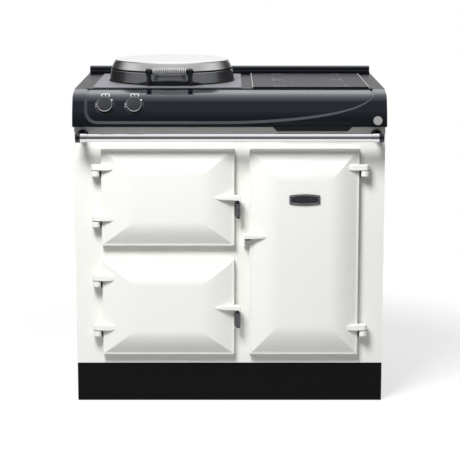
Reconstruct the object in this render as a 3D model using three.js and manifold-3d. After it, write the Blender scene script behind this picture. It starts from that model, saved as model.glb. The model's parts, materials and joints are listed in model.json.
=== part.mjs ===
// A free-standing cast iron range cooker: three ovens, a lidded hotplate and a glass hob.
// Millimetres, +Z up. X runs along the front and Y from the front to the back.
// The origin is on the floor, below the middle of the object's box.

import * as THREE from 'three';
import { mergeVertices } from 'three/addons/utils/BufferGeometryUtils.js';
import Module from 'manifold-3d';

// ---------------------------------------------------------------- driving dimensions

const seatGap = 0.3; // between two pieces that touch
const weldDistance = 1e-4; // corners this close are one corner
const cutMargin = 1; // a cutting shape stands this far past what it cuts
const curveSteps = 8; // steps along each curve of the fascia
const cornerSteps = 2; // half the steps round each small corner
const facets = { lid: 54, disc: 48, knob: 24, rail: 20, boss: 16, pin: 12, wire: 10, nut: 6 };

// Front, from left to right and from the floor up
const leftMargin = 77.5;
const leftDoorWidth = 382.5;
const doorColumnGap = 43;
const rightDoorWidth = 315;
const rightMargin = 74;
const plinthHeight = 114;
const doorBottomMargin = 30;
const smallDoorHeight = 283;
const doorRowGap = 39.5;
const doorTopMargin = 61.5;
const fasciaHeight = 101;

// Depth
const railReach = 60; // from that face to the axis of the towel rail
const railCapRadius = 14;

// Casing
const plateThickness = 14;
const sheetThickness = 4;
const plinthThickness = 5;
const plinthSetBack = 2;
const topOverhang = 3;
const topThickness = 10;
const topSkirtHeight = 42;
const topSkirtThickness = 8;
const ventSlotCount = 5;
const ventSlotLength = 240;
const ventSlotHeight = 10;
const ventSlotCorner = 4;
const ventSlotPitch = 36;
const ventSlotLift = 560; // first slot above the plinth

// Frame
const frameTube = 32;
const uprightTube = 26;
const frameInset = 21; // between the plinth and the frame
const uprightSetBack = 50; // front uprights behind the front of the frame
const jacketClearance = 2;
const jacketDrop = 18; // top of the insulation below the fascia
const frameLift = 40; // underside of the frame above the floor
const footRadius = 20;
const footHeight = 16;
const footStem = 10; // radius of the threaded stem

// Fascia: a leaning face, a round shoulder and a nearly flat crown
const fasciaProud = 33;
const fasciaSweep = 108;
const fasciaWall = 14;
const faceLean = THREE.MathUtils.degToRad(21.5);
const crownSlope = THREE.MathUtils.degToRad(9);
const faceHeight = 70; // up to where the shoulder starts
const crownLength = 40;
const cheekWidth = 34;
const ribWidth = 9;
const ribDepth = 2;
const recessDepth = 4.5;
const panelThickness = 2;
const recessBottomLift = 9; // recess above the bottom edge of the fascia
const recessCornerRadius = 42;
const sweepReach = 228; // handles of the long curve that ends the recess on the right
const sweepStartLift = 4;
const sweepEndLift = 34;
const recessTopMargin = 3;

// Controls
const knobLeftInset = 93.5; // first knob from the left end of the fascia
const knobPitch = 83.5;
const knobLift = 60; // above the bottom edge of the fascia
const knobRadius = 22.5;
const knobHeight = 16;
const knobRounding = 1.6;
const pointerRadius = 2.2;
const pointerAngle = THREE.MathUtils.degToRad(24); // above three o'clock
const bezelRadius = 29;
const bezelHeight = 3;
const bezelSeat = 4; // how far the bezel's sleeve enters the panel
const shaftRadius = 5;
const shaftLength = 34;
const shaftClearance = 0.4;
const switchLength = 30;
const switchHeight = 28;
const switchDrop = 6; // middle of the module below the knobs' axes
const badgeRadius = 13;
const badgeThickness = 3;
const badgeRightInset = 27;
const badgeLift = 19;
const outletWidth = 226;
const outletHeight = 12;
const outletDepth = 24;
const outletRightInset = 100;

// Towel rail
const railRadius = 12;
const railDrop = 26; // axis below the bottom edge of the fascia
const railEndInset = 26; // middle of the brackets from the sides of the body
const flangeRadius = 17;
const flangeThickness = 5;
const postRadius = 9;
const railCapLength = 21;
const railInsertion = 6; // end of the rail past the middle of its bracket

// Doors
const doorGap = 1.2; // from the front plate to the back of a closed door
const doorEdge = 19; // thickness at the rim
const doorCrown = 22; // rise of the middle over the rim
const doorRim = 6; // flat rim around the bevels
const smallDoorBevelX = 96;
const smallDoorBevelZ = 76;
const tallDoorBevelX = 84;
const tallDoorBevelZ = 92;
const bevelSteps = 4;
const pocketInset = 20; // door edge to the pocket that takes the liner
const pocketDepth = 12;
const hollowInsetX = 62; // door edge to the deeper hollow behind the crown
const hollowInsetZ = 52;
const hollowDepth = 30;
const linerThickness = 18;
const linerClearance = 1;
const mouthClearance = 7; // liner to the oven mouth
const mouthInset = 24; // door edge to the oven mouth
const mouthRadius = 14;

// Hinges and catches
const hingeAxisInset = 16; // pin axis from the door's edge
const hingeAxisProud = 20; // pin axis in front of the front plate
const hingeTopDrop = 54; // upper lug below the top of its door
const hingeBottomLift = 82;
const hingeLugHeight = 17;
const hingeLugReach = 46; // length of the lug on the door
const hingeBossRadius = 12;
const hingeBlockHeight = 16;
const hingeBlockRadius = 12;
const hingeNeck = 23; // width of the block between its round end and the front plate
const hingePinRadius = 5;
const hingePinClearance = 0.35;
const hingePinRise = 12;
const hingePlay = 1.2; // between a lug and its bracket
const catchReach = 69; // length of the catch lug on the door
const catchOverhang = 18; // and past the door's edge
const catchHeight = 15;
const catchThickness = 16;
const catchProud = 38;
const tallCatchLift = 49; // catch of the tall door above its middle
const keeperWidth = 12;
const keeperHeight = 22;
const keeperProud = 13;
const keeperPlay = 2;
const handleRadius = 6;
const handleLength = 42;
const handleStemRadius = 3;
const handleDrop = 6; // lug to coil
const handleButton = 3;
const handleInset = 10.5; // axis of the coil past the door's edge
const handleTurns = 6;
const hookThickness = 4;
const hookDrop = 15;
const lugRoot = 14; // where a lug's underside meets the bevel
const namePlateWidth = 88;
const namePlateHeight = 31;
const namePlateBow = 4; // half the rise of the bow over the ends
const namePlateThickness = 4;
const namePlateDrop = 144; // below the top of the right door

// Ovens
const ovenDepth = 460;
const ovenWall = 6;
const mouthFlange = 14;
const runnerRise = 6; // into the oven from each wall
const runnerHeight = 6;
const runnerCount = 3;
const tallRunnerCount = 6;
const shelfWire = 5;
const shelfBars = 10;
const shelfPlay = 1.5; // to each side wall
const shelfEndPlay = 12;
const elementRadius = 4;
const elementInset = 45;
const elementRuns = 4;
const elementTail = 40;
const elementSteps = 46;
const elementSides = 5;

// Hotplate, its surround and its lid
const leftStrip = 53;
const divider = 34;
const rightStrip = 47;
const surroundThickness = 3;
const topFrontMargin = 8;
const rearStrip = 27; // between the surround and the rear bar
const lidLeftMargin = 32; // from the lid's rim to the left edge of the surround
const lidRightMargin = 21;
const lidFrontMargin = 46;
const hingeMargin = 0.7; // from the lid's hinge to the rear edge of the surround
const hotplateRadius = 168;
const hotplateThickness = 22;
const hotplateChamfer = 2;
const hotplateRise = 5; // top of the hotplate over the surround
const hotplateGroove = 5; // between hotplate and surround
const panWall = 3;
const panDepth = 64;
const panFlange = 12;
const panLedge = 14;
const ringRadius = 6;
const ringInset = 40;
const lidOverlap = 4; // the lid's rim past the flange of the heat pan
const lidWaistInset = 6.5; // inside the rim
const lidShoulderInset = 19;
const lidGap = 0.6; // lid rim over the surround
const lidWaistHeight = 35;
const lidShoulderHeight = 65;
const lidCrown = 4;
const lidRounding = 3;
const lidWall = 3;
const linerPlateHeight = 10;
const linerPlateLift = 9;
const grooveDepth = 1.5;
const grooveHeight = 3;

// Lid handle
const gripReach = 31; // coil axis in front of the lid's rim
const gripLift = 42; // coil axis over the lid's rim
const gripLength = 102;
const gripRadius = 12;
const gripRodRadius = 4.5;
const gripTurns = 9;
const knuckleRadius = 11;
const knuckleLength = 12;
const saddleAngle = THREE.MathUtils.degToRad(31);
const saddleHeight = 12;
const saddleThickness = 6;
const armTaper = 4;

// Lid hinge
const lidHingeReach = 18; // pin axis behind the lid's rim
const lidHingeLift = 13; // pin axis over the surround
const barrelRadius = 9;
const barrelLength = 60;
const lidPinRadius = 4;
const lidPinClearance = 0.35;
const hingeCheek = 8;
const armHeight = 12;
const armRoot = 18; // the strap starts this far inside the lid, then is cut to its wall
const hingeHeel = 5;
const sidePlay = 0.6;

// Hob
const glassThickness = 4;
const hobCutInset = 14;
const trayDepth = 26;
const trayWall = 1.5;
const coilRadius = 92;
const coilBore = 18;
const coilHeight = 14;
const carrierRadius = 55;

// Rear bar
const rearBarDepth = 33;
const rearBarHeight = 24;
const rearBarEndInset = 5;
const rearBarStep = 4.5;
const rearBarStepHeight = 10;

// Terminal box
const terminalWidth = 120;
const terminalHeight = 80;
const terminalDepth = 34;
const terminalInset = 90;
const terminalLift = 50;
const glandRadius = 11;
const glandBore = 6;
const glandLength = 16;

// ---------------------------------------------------------------- derived layout

const bodyWidth = leftMargin + leftDoorWidth + doorColumnGap + rightDoorWidth + rightMargin;
const tallDoorHeight = 2 * smallDoorHeight + doorRowGap;
const frontHeight = doorBottomMargin + tallDoorHeight + doorTopMargin;
const fasciaBottom = plinthHeight + frontHeight;
const topZ = fasciaBottom + fasciaHeight;
const halfBody = bodyWidth / 2;
const halfTop = halfBody + topOverhang;
const panRadius = hotplateRadius + hotplateGroove;
const lidRadius = panRadius + panFlange + lidOverlap;
const lidWaistRadius = lidRadius - lidWaistInset;
const lidShoulderRadius = lidRadius - lidShoulderInset;
const hingeDepth = lidHingeReach + barrelRadius + hingeHeel + hingeMargin;
const surroundWidth = lidLeftMargin + 2 * lidRadius + lidRightMargin;
const surroundDepth = lidFrontMargin + 2 * lidRadius + hingeDepth;
const topDepth = topFrontMargin + surroundDepth + rearStrip + rearBarDepth;
const bodyDepth = fasciaSweep - fasciaProud + seatGap + topDepth;
const frontReach = railReach + railCapRadius;
const faceY = frontReach - (bodyDepth + frontReach) / 2;
const backY = faceY + bodyDepth;
const innerY = faceY + plateThickness + seatGap;
const topFrontY = faceY - fasciaProud + fasciaSweep;
const surfaceZ = topZ + seatGap + surroundThickness;

const spans = {
  leftDoorX: [-halfBody + leftMargin, -halfBody + leftMargin + leftDoorWidth],
  rightDoorX: [halfBody - rightMargin - rightDoorWidth, halfBody - rightMargin],
  lowerZ: [plinthHeight + doorBottomMargin, plinthHeight + doorBottomMargin + smallDoorHeight],
};
spans.upperZ = spans.lowerZ.map((z) => z + smallDoorHeight + doorRowGap);
spans.tallZ = [spans.lowerZ[0], spans.upperZ[1]];

const doorPlans = [
  {
    name: 'upper_left',
    oven: 'roasting',
    x: spans.leftDoorX,
    z: spans.upperZ,
    side: -1,
    bevel: [smallDoorBevelX, smallDoorBevelZ],
    catchLift: 0,
    handle: true,
    runners: runnerCount,
  },
  {
    name: 'lower_left',
    oven: 'simmering',
    x: spans.leftDoorX,
    z: spans.lowerZ,
    side: -1,
    bevel: [smallDoorBevelX, smallDoorBevelZ],
    catchLift: 0,
    handle: true,
    runners: runnerCount,
  },
  {
    name: 'right',
    oven: 'slow',
    x: spans.rightDoorX,
    z: spans.tallZ,
    side: 1,
    bevel: [tallDoorBevelX, tallDoorBevelZ],
    catchLift: tallCatchLift,
    handle: false,
    runners: tallRunnerCount,
  },
];

// ---------------------------------------------------------------- materials

const finishes = {
  whiteEnamel: { color: 0xefefec, roughness: 0.25, metalness: 0 },
  blackEnamel: { color: 0x17191d, roughness: 0.3, metalness: 0 },
  chrome: { color: 0xdfe0e0, roughness: 0.12, metalness: 1 },
  brushedSteel: { color: 0xa6a6ad, roughness: 0.38, metalness: 1 },
  castAluminium: { color: 0xa3a5a8, roughness: 0.45, metalness: 1 },
  castIron: { color: 0x3a3a3c, roughness: 0.7, metalness: 0.6 },
  zincSteel: { color: 0x9b9fa3, roughness: 0.5, metalness: 0.9 },
  blackSteel: { color: 0x1d1e20, roughness: 0.55, metalness: 0.4 },
  glassCeramic: { color: 0x15171b, roughness: 0.06, metalness: 0 },
  copper: { color: 0xb0714a, roughness: 0.4, metalness: 1 },
  blackPlastic: { color: 0x1b1c1f, roughness: 0.4, metalness: 0 },
  mineralWool: { color: 0xc9bf9c, roughness: 1, metalness: 0 },
};

// ---------------------------------------------------------------- solids

const wasm = await Module();
wasm.setup();

const cooker = new THREE.Group();

function signedVolume(positions, indices) {
  const [a, b, c] = [new THREE.Vector3(), new THREE.Vector3(), new THREE.Vector3()];
  let volume = 0;
  for (let i = 0; i < indices.length; i += 3) {
    a.fromArray(positions, 3 * indices[i]);
    b.fromArray(positions, 3 * indices[i + 1]);
    c.fromArray(positions, 3 * indices[i + 2]);
    volume += a.dot(b.cross(c));
  }
  return volume;
}

// A three.js geometry as a solid whose faces point out
function solid(geometry) {
  const bare = geometry.clone();
  bare.deleteAttribute('normal');
  bare.deleteAttribute('uv');
  const merged = mergeVertices(bare, weldDistance);
  const positions = new Float32Array(merged.attributes.position.array);
  const indices = new Uint32Array(merged.index.array);
  if (signedVolume(positions, indices) < 0) {
    for (let i = 0; i < indices.length; i += 3) {
      [indices[i], indices[i + 1]] = [indices[i + 1], indices[i]];
    }
  }
  return new wasm.Manifold(
    new wasm.Mesh({ numProp: 3, vertProperties: positions, triVerts: indices }),
  );
}

function place(name, body, finish) {
  const { vertProperties, triVerts } = body.getMesh();
  const geometry = new THREE.BufferGeometry();
  geometry.setAttribute('position', new THREE.BufferAttribute(vertProperties, 3));
  geometry.setIndex(new THREE.BufferAttribute(triVerts, 1));
  geometry.computeVertexNormals();
  const mesh = new THREE.Mesh(geometry, new THREE.MeshStandardMaterial(finishes[finish]));
  mesh.name = name;
  cooker.add(mesh);
}

const join = (...bodies) => bodies.reduce((sum, body) => sum.add(body));

function box([x0, x1], [y0, y1], [z0, z1]) {
  const geometry = new THREE.BoxGeometry(x1 - x0, y1 - y0, z1 - z0);
  return solid(geometry.translate((x0 + x1) / 2, (y0 + y1) / 2, (z0 + z1) / 2));
}

// A shape drawn in Y and Z, extruded along X
function prismX(shape, [x0, x1], curveSegments = curveSteps) {
  const options = { bevelEnabled: false, curveSegments, depth: x1 - x0 };
  const geometry = new THREE.ExtrudeGeometry(shape, options);
  const [x, y, z] = [[1, 0, 0], [0, 1, 0], [0, 0, 1]].map((axis) => new THREE.Vector3(...axis));
  geometry.applyMatrix4(new THREE.Matrix4().makeBasis(y, z, x));
  return solid(geometry.translate(x0, 0, 0));
}

// A shape drawn in X and Z, extruded along Y
function prismY(shape, [y0, y1], curveSegments = cornerSteps) {
  const options = { bevelEnabled: false, curveSegments, depth: y1 - y0 };
  const geometry = new THREE.ExtrudeGeometry(shape, options);
  return solid(geometry.rotateX(Math.PI / 2).translate(0, y1, 0));
}

// A shape drawn in X and Y, extruded along Z
function prismZ(shape, [z0, z1], curveSegments = cornerSteps) {
  const options = { bevelEnabled: false, curveSegments, depth: z1 - z0 };
  const geometry = new THREE.ExtrudeGeometry(shape, options);
  return solid(geometry.translate(0, 0, z0));
}

// A profile of radius and height, turned about a vertical axis at x, y
function turned(profile, [x, y], segments) {
  const points = profile.map(([radius, height]) => new THREE.Vector2(radius, height));
  const geometry = new THREE.LatheGeometry(points, segments);
  return solid(geometry.rotateX(Math.PI / 2).translate(x, y, 0));
}

// The same profile turned about an axis that leaves a point in any direction
function turnedAlong(profile, origin, direction, segments) {
  const points = profile.map(([radius, height]) => new THREE.Vector2(radius, height));
  const geometry = new THREE.LatheGeometry(points, segments);
  const up = new THREE.Vector3(0, 1, 0);
  const turn = new THREE.Quaternion().setFromUnitVectors(up, direction.clone().normalize());
  return solid(geometry.applyQuaternion(turn).translate(origin.x, origin.y, origin.z));
}

function rod(from, to, radius, segments) {
  const direction = to.clone().sub(from);
  const length = direction.length();
  const profile = [[0, 0], [radius, 0], [radius, length], [0, length]];
  return turnedAlong(profile, from, direction, segments);
}

const upright = (x, y, radius, [z0, z1], segments) =>
  turned([[0, z0], [radius, z0], [radius, z1], [0, z1]], [x, y], segments);

function polygon(points) {
  return new THREE.Shape(points.map(([a, b]) => new THREE.Vector2(a, b)));
}

function roundedRectangle([x0, x1], [z0, z1], radius) {
  const shape = new THREE.Shape();
  shape.moveTo(x0 + radius, z0);
  shape.lineTo(x1 - radius, z0);
  shape.absarc(x1 - radius, z0 + radius, radius, -Math.PI / 2, 0);
  shape.lineTo(x1, z1 - radius);
  shape.absarc(x1 - radius, z1 - radius, radius, 0, Math.PI / 2);
  shape.lineTo(x0 + radius, z1);
  shape.absarc(x0 + radius, z1 - radius, radius, Math.PI / 2, Math.PI);
  shape.lineTo(x0, z0 + radius);
  shape.absarc(x0 + radius, z0 + radius, radius, Math.PI, 1.5 * Math.PI);
  return shape;
}

// A round tube along a path, made of straight and curved steps
function tube(path, radius, steps, sides) {
  const section = new THREE.Shape();
  for (let i = 0; i < sides; i += 1) {
    const angle = (2 * Math.PI * i) / sides;
    const point = [radius * Math.cos(angle), radius * Math.sin(angle)];
    if (i === 0) section.moveTo(...point);
    else section.lineTo(...point);
  }
  const options = { bevelEnabled: false, steps, extrudePath: path };
  return solid(new THREE.ExtrudeGeometry(section, options));
}

const grow = ([low, high], amount) => [low - amount, high + amount];
const about = (middle, halfWidth) => [middle - halfWidth, middle + halfWidth];

// ---------------------------------------------------------------- plinth and base frame

const mouths = doorPlans.map(({ x, z }) => ({ x: grow(x, -mouthInset), z: grow(z, -mouthInset) }));

function makePlinth() {
  const outerY = [faceY + plinthSetBack, backY];
  const height = [0, plinthHeight - seatGap];
  const outer = box([-halfBody, halfBody], outerY, height);
  const innerX = halfBody - plinthThickness;
  const room = box(
    [-innerX, innerX],
    [outerY[0] + plinthThickness, backY + plinthThickness],
    grow(height, plinthThickness),
  );
  place('plinth', outer.subtract(room), 'blackEnamel');
}

const frameX = halfBody - plinthThickness - frameInset;
const frameY = [faceY + plinthSetBack + plinthThickness + frameInset, backY - frameInset];
const frameZ = [frameLift, frameLift + frameTube];
const uprightTop = topZ - topThickness - seatGap;

function makeBaseFrame() {
  const ring = box([-frameX, frameX], frameY, frameZ).subtract(
    box(
      [frameTube - frameX, frameX - frameTube],
      grow(frameY, -frameTube),
      grow(frameZ, cutMargin),
    ),
  );
  const middleX = (spans.leftDoorX[1] + spans.rightDoorX[0]) / 2;
  const bearers = [middleX, (spans.leftDoorX[0] + spans.leftDoorX[1]) / 2].map((x) =>
    box(about(x, frameTube / 2), grow(frameY, -frameTube / 2), frameZ),
  );
  const posts = [];
  for (const side of [-1, 1]) {
    const postX = side * (frameX - uprightTube / 2);
    const footX = side * (frameX - footRadius);
    for (const y of [frameY[0] + uprightSetBack, frameY[1] - uprightTube / 2]) {
      const section = [about(postX, uprightTube / 2), about(y, uprightTube / 2)];
      posts.push(box(...section, [frameZ[0], uprightTop]));
    }
    for (const y of [frameY[0] + footRadius, frameY[1] - footRadius]) {
      posts.push(upright(footX, y, footRadius, [0, footHeight], facets.boss));
      posts.push(upright(footX, y, footStem, [0, frameZ[0] + footHeight], facets.wire));
    }
  }
  place('base_frame', join(ring, ...bearers, ...posts), 'zincSteel');
}

// ---------------------------------------------------------------- casing

const catchPoint = ({ x, z, side, catchLift }) => ({
  x: side < 0 ? x[1] : x[0],
  z: (z[0] + z[1]) / 2 + catchLift,
});

function makeFrontPlate() {
  const outline = polygon([
    [-halfBody, plinthHeight],
    [halfBody, plinthHeight],
    [halfBody, fasciaBottom - seatGap],
    [-halfBody, fasciaBottom - seatGap],
  ]);
  for (const mouth of mouths) {
    outline.holes.push(roundedRectangle(mouth.x, mouth.z, mouthRadius));
  }
  const keepers = doorPlans.map((plan) => {
    const { x, z } = catchPoint(plan);
    const offset = -plan.side * (doorColumnGap / 4);
    const keeperX = x + offset;
    const top = z - catchHeight / 2 - keeperPlay;
    return box(
      about(keeperX, keeperWidth / 2),
      [faceY - keeperProud, faceY + plateThickness / 2],
      [top - keeperHeight, top],
    );
  });
  const plate = prismY(outline, [faceY, faceY + plateThickness]);
  place('front_plate', join(plate, ...keepers), 'whiteEnamel');
}

function makeSidePanels() {
  const skirtZ = topZ - topSkirtHeight - seatGap;
  const notchY = topFrontY + seatGap;
  const outline = polygon([
    [innerY, plinthHeight],
    [backY, plinthHeight],
    [backY, skirtZ],
    [notchY, skirtZ],
    [notchY, fasciaBottom - seatGap],
    [innerY, fasciaBottom - seatGap],
  ]);
  place('side_panel_left', prismX(outline, [-halfBody, sheetThickness - halfBody]), 'whiteEnamel');
  place('side_panel_right', prismX(outline, [halfBody - sheetThickness, halfBody]), 'whiteEnamel');
}

function makeRearPanel() {
  const panelX = halfBody - sheetThickness - seatGap;
  const panelY = [backY - sheetThickness, backY];
  const panelZ = [plinthHeight, topZ - topSkirtHeight - seatGap];
  const outline = polygon([
    [-panelX, panelZ[0]],
    [panelX, panelZ[0]],
    [panelX, panelZ[1]],
    [-panelX, panelZ[1]],
  ]);
  for (let slot = 0; slot < ventSlotCount; slot += 1) {
    const z = plinthHeight + ventSlotLift + (slot - (ventSlotCount - 1) / 2) * ventSlotPitch;
    for (const side of [-1, 1]) {
      const x = (side * bodyWidth) / 4;
      outline.holes.push(
        roundedRectangle(
          about(x, ventSlotLength / 2),
          about(z, ventSlotHeight / 2),
          ventSlotCorner,
        ),
      );
    }
  }
  place('rear_panel', prismY(outline, panelY, 1), 'zincSteel');
}

// ---------------------------------------------------------------- fascia

// The outer line of the fascia in Y and Z, moved inwards by depth
function fasciaLine(depth) {
  const frontY = faceY - fasciaProud + depth;
  const crownTop = topZ - depth;
  const lean = Math.tan(faceLean);
  const slope = Math.tan(crownSlope);
  const corner = {
    z: (crownTop - slope * (topFrontY - frontY + lean * fasciaBottom)) / (1 - slope * lean),
  };
  corner.y = frontY + lean * (corner.z - fasciaBottom);
  const shoulderStart = [frontY + lean * faceHeight, fasciaBottom + faceHeight];
  const crownStart = [topFrontY - crownLength, crownTop - slope * crownLength];
  return { frontY, crownTop, corner, shoulderStart, crownStart };
}

function fasciaSection(depth, bottom) {
  const line = fasciaLine(depth);
  const shape = new THREE.Shape();
  shape.moveTo(topFrontY, bottom);
  shape.lineTo(line.frontY, bottom);
  shape.lineTo(...line.shoulderStart);
  shape.quadraticCurveTo(line.corner.y, line.corner.z, ...line.crownStart);
  shape.lineTo(topFrontY, line.crownTop);
  return shape;
}

// The outline of the recess in X and Z, drawn inset from its own edge
function recessOutline(inset) {
  const left = -halfTop + cheekWidth + inset;
  const right = halfTop - cheekWidth - inset;
  const bottom = fasciaBottom + recessBottomLift + inset;
  const top = topZ + recessTopMargin;
  const radius = recessCornerRadius - inset;
  const middle = (left + right) / 2;
  const shape = new THREE.Shape();
  shape.moveTo(left, top);
  shape.lineTo(left, bottom + radius);
  shape.quadraticCurveTo(left, bottom, left + radius, bottom);
  shape.lineTo(middle, bottom);
  shape.bezierCurveTo(
    middle + sweepReach,
    bottom + sweepStartLift,
    right,
    bottom + sweepEndLift,
    right,
    topZ - inset,
  );
  shape.lineTo(right, top);
  return shape;
}

const fullDepth = grow([faceY - fasciaProud, topFrontY], cutMargin);

function makeFascia() {
  const width = [-halfTop, halfTop];
  const outer = prismX(fasciaSection(0, fasciaBottom), width);
  const hollow = prismX(
    fasciaSection(fasciaWall, fasciaBottom + fasciaWall),
    grow(width, -topSkirtThickness),
  );
  const openBack = box(
    grow(width, -topSkirtThickness),
    [innerY, topFrontY + fasciaWall],
    [fasciaBottom - fasciaWall, topZ - topThickness],
  );
  const ribCut = prismY(recessOutline(0), fullDepth, curveSteps).subtract(
    prismX(fasciaSection(ribDepth, fasciaBottom), width),
  );
  const panelCut = prismY(recessOutline(ribWidth), fullDepth, curveSteps).subtract(
    prismX(fasciaSection(recessDepth, fasciaBottom), width),
  );
  const outlet = outletSpan();
  const outletCut = box(grow(outlet.x, seatGap), grow(outlet.y, seatGap), grow(outlet.z, seatGap));
  let body = outer.subtract(hollow).subtract(openBack).subtract(ribCut).subtract(panelCut);
  body = body.subtract(outletCut);
  for (const knob of knobSeats()) {
    body = body.subtract(knobHole(knob));
  }
  const seat = badgeSeat();
  const badgeHole = [seat.at(-badgeThickness), seat.at(fasciaWall)];
  body = body.subtract(rod(...badgeHole, badgeRadius + seatGap, facets.knob));
  place('fascia', body, 'blackEnamel');
}

function makeControlPanel() {
  const width = [-halfTop, halfTop];
  const sheet = prismX(fasciaSection(panelSkinDepth, fasciaBottom), width).subtract(
    prismX(fasciaSection(recessDepth - seatGap, fasciaBottom), width),
  );
  let panel = sheet.intersect(prismY(recessOutline(ribWidth + seatGap), fullDepth, curveSteps));
  for (const knob of knobSeats()) {
    panel = panel.subtract(knobHole(knob));
  }
  place('control_panel', panel, 'blackEnamel');
}

const faceNormal = new THREE.Vector3(0, -Math.cos(faceLean), Math.sin(faceLean));
const faceUp = new THREE.Vector3(0, Math.sin(faceLean), Math.cos(faceLean));

// A seat on the leaning face, depth under its surface
function faceSeat(x, lift, depth) {
  const y = faceY - fasciaProud + depth + Math.tan(faceLean) * lift;
  const point = new THREE.Vector3(x, y, fasciaBottom + lift);
  return { point, at: (height) => point.clone().addScaledVector(faceNormal, height) };
}

const bezelSleeve = shaftRadius + shaftClearance + bezelSeat;
const panelSkinDepth = recessDepth - seatGap - panelThickness;

function knobSeats() {
  return [0, 1].map((index) =>
    faceSeat(-halfTop + knobLeftInset + index * knobPitch, knobLift, panelSkinDepth),
  );
}

const knobHole = (seat) =>
  rod(seat.at(-2 * fasciaWall), seat.at(fasciaWall), bezelSleeve + seatGap, facets.boss);

const badgeSeat = () => faceSeat(halfTop - badgeRightInset, badgeLift, 0);

function outletSpan() {
  const right = halfTop - outletRightInset;
  return {
    x: [right - outletWidth, right],
    y: [faceY - outletDepth, faceY - seatGap],
    z: [fasciaBottom - outletHeight, fasciaBottom + fasciaWall],
  };
}

function makeCoolingOutlet() {
  const { x, y, z } = outletSpan();
  const chamfer = outletHeight;
  const outline = polygon([
    [x[0], z[1]],
    [x[0], fasciaBottom],
    [x[0] + chamfer, z[0]],
    [x[1] - chamfer, z[0]],
    [x[1], fasciaBottom],
    [x[1], z[1]],
  ]);
  const slotX = grow(x, -2 * chamfer);
  const slot = box(slotX, [y[0] + sheetThickness, y[1] - sheetThickness], grow(z, outletHeight));
  place('cooling_outlet', prismY(outline, y).subtract(slot), 'blackSteel');
}

function makeControls() {
  knobSeats().forEach((seat, index) => {
    const side = ['left', 'right'][index];
    const bore = shaftRadius + shaftClearance;
    const lowZ = seatGap;
    const bezel = turnedAlong(
      [
        [bore, -panelThickness - seatGap],
        [bezelSleeve, -panelThickness - seatGap],
        [bezelSleeve, lowZ],
        [bezelRadius, lowZ],
        [bezelRadius, lowZ + bezelHeight / 2],
        [bezelRadius - bezelHeight / 2, lowZ + bezelHeight],
        [bore, lowZ + bezelHeight],
        [bore, -panelThickness - seatGap],
      ],
      seat.point,
      faceNormal,
      facets.knob,
    );
    place(`knob_bezel_${side}`, bezel, 'blackPlastic');
    const base = lowZ + bezelHeight + seatGap;
    const knob = turnedAlong(
      [
        [0, base - shaftLength],
        [shaftRadius, base - shaftLength],
        [shaftRadius, base],
        [knobRadius, base],
        [knobRadius, base + knobHeight - 3 * knobRounding],
        [knobRadius - knobRounding, base + knobHeight],
        [0, base + knobHeight - knobRounding],
      ],
      seat.point,
      faceNormal,
      facets.knob,
    );
    const foot = pointerFoot(seat.point);
    const pointer = rod(
      foot.clone().addScaledVector(faceNormal, base + knobRounding),
      foot.clone().addScaledVector(faceNormal, base + knobHeight - 2 * knobRounding),
      pointerRadius,
      facets.nut,
    );
    place(`knob_${side}`, join(knob, pointer), 'blackPlastic');
  });
}

// The pointer stands at the knob's rim, towards two o'clock
function pointerFoot(centre) {
  const across = new THREE.Vector3(1, 0, 0);
  return centre
    .clone()
    .addScaledVector(across, knobRadius * Math.cos(pointerAngle))
    .addScaledVector(faceUp, knobRadius * Math.sin(pointerAngle));
}

function makeSwitchModule() {
  const seats = knobSeats();
  const back = seatGap + bezelHeight + seatGap - shaftLength;
  const middle = seats[0].point.clone().add(seats[1].point).multiplyScalar(0.5);
  const width = knobPitch + 2 * bezelSleeve + switchLength;
  const front = -(fasciaWall - panelSkinDepth) * Math.cos(faceLean) - seatGap;
  const geometry = new THREE.BoxGeometry(width, switchLength, switchHeight);
  const turn = new THREE.Matrix4().makeBasis(
    new THREE.Vector3(1, 0, 0),
    faceNormal.clone().negate(),
    faceUp,
  );
  geometry.applyMatrix4(turn);
  const centre = middle
    .clone()
    .addScaledVector(faceNormal, front - switchLength / 2)
    .addScaledVector(faceUp, -switchDrop);
  let module = solid(geometry.translate(centre.x, centre.y, centre.z));
  for (const seat of seats) {
    module = module.subtract(
      rod(seat.at(back - seatGap), seat.at(0), shaftRadius + shaftClearance, facets.rail),
    );
  }
  place('switch_module', module, 'blackPlastic');
}

function makeRoundPlate() {
  const seat = badgeSeat();
  const disc = turnedAlong(
    [
      [0, -badgeThickness + seatGap],
      [badgeRadius, -badgeThickness + seatGap],
      [badgeRadius, badgeThickness / 2],
      [badgeRadius - badgeThickness / 2, badgeThickness],
      [0, badgeThickness],
    ],
    seat.point,
    faceNormal,
    facets.knob,
  );
  place('round_plate', disc, 'brushedSteel');
}

// ---------------------------------------------------------------- towel rail

const railY = faceY - railReach;
const railZ = fasciaBottom - railDrop;
const bracketX = halfBody - railEndInset;

function makeTowelRail() {
  const at = (x, y) => new THREE.Vector3(x, y, railZ);
  const end = bracketX + railInsertion;
  place('towel_rail', rod(at(-end, railY), at(end, railY), railRadius, facets.rail), 'chrome');
  for (const side of [-1, 1]) {
    const x = side * bracketX;
    const seatY = faceY - seatGap;
    const flange = rod(at(x, seatY), at(x, seatY - flangeThickness), flangeRadius, facets.rail);
    const post = rod(at(x, seatY - cutMargin), at(x, railY), postRadius, facets.pin);
    const socketEnds = [x - (side * railCapLength) / 3, x + (side * railCapLength * 2) / 3];
    const boreEnds = [x - side * railCapLength, x + side * (railInsertion + seatGap)];
    const socket = rod(...socketEnds.map((sx) => at(sx, railY)), railCapRadius, facets.rail);
    const bore = rod(...boreEnds.map((bx) => at(bx, railY)), railRadius + seatGap, facets.rail);
    const bracket = join(flange, post, socket).subtract(bore);
    place(`rail_bracket_${side < 0 ? 'left' : 'right'}`, bracket, 'blackEnamel');
  }
}

// ---------------------------------------------------------------- doors

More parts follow.
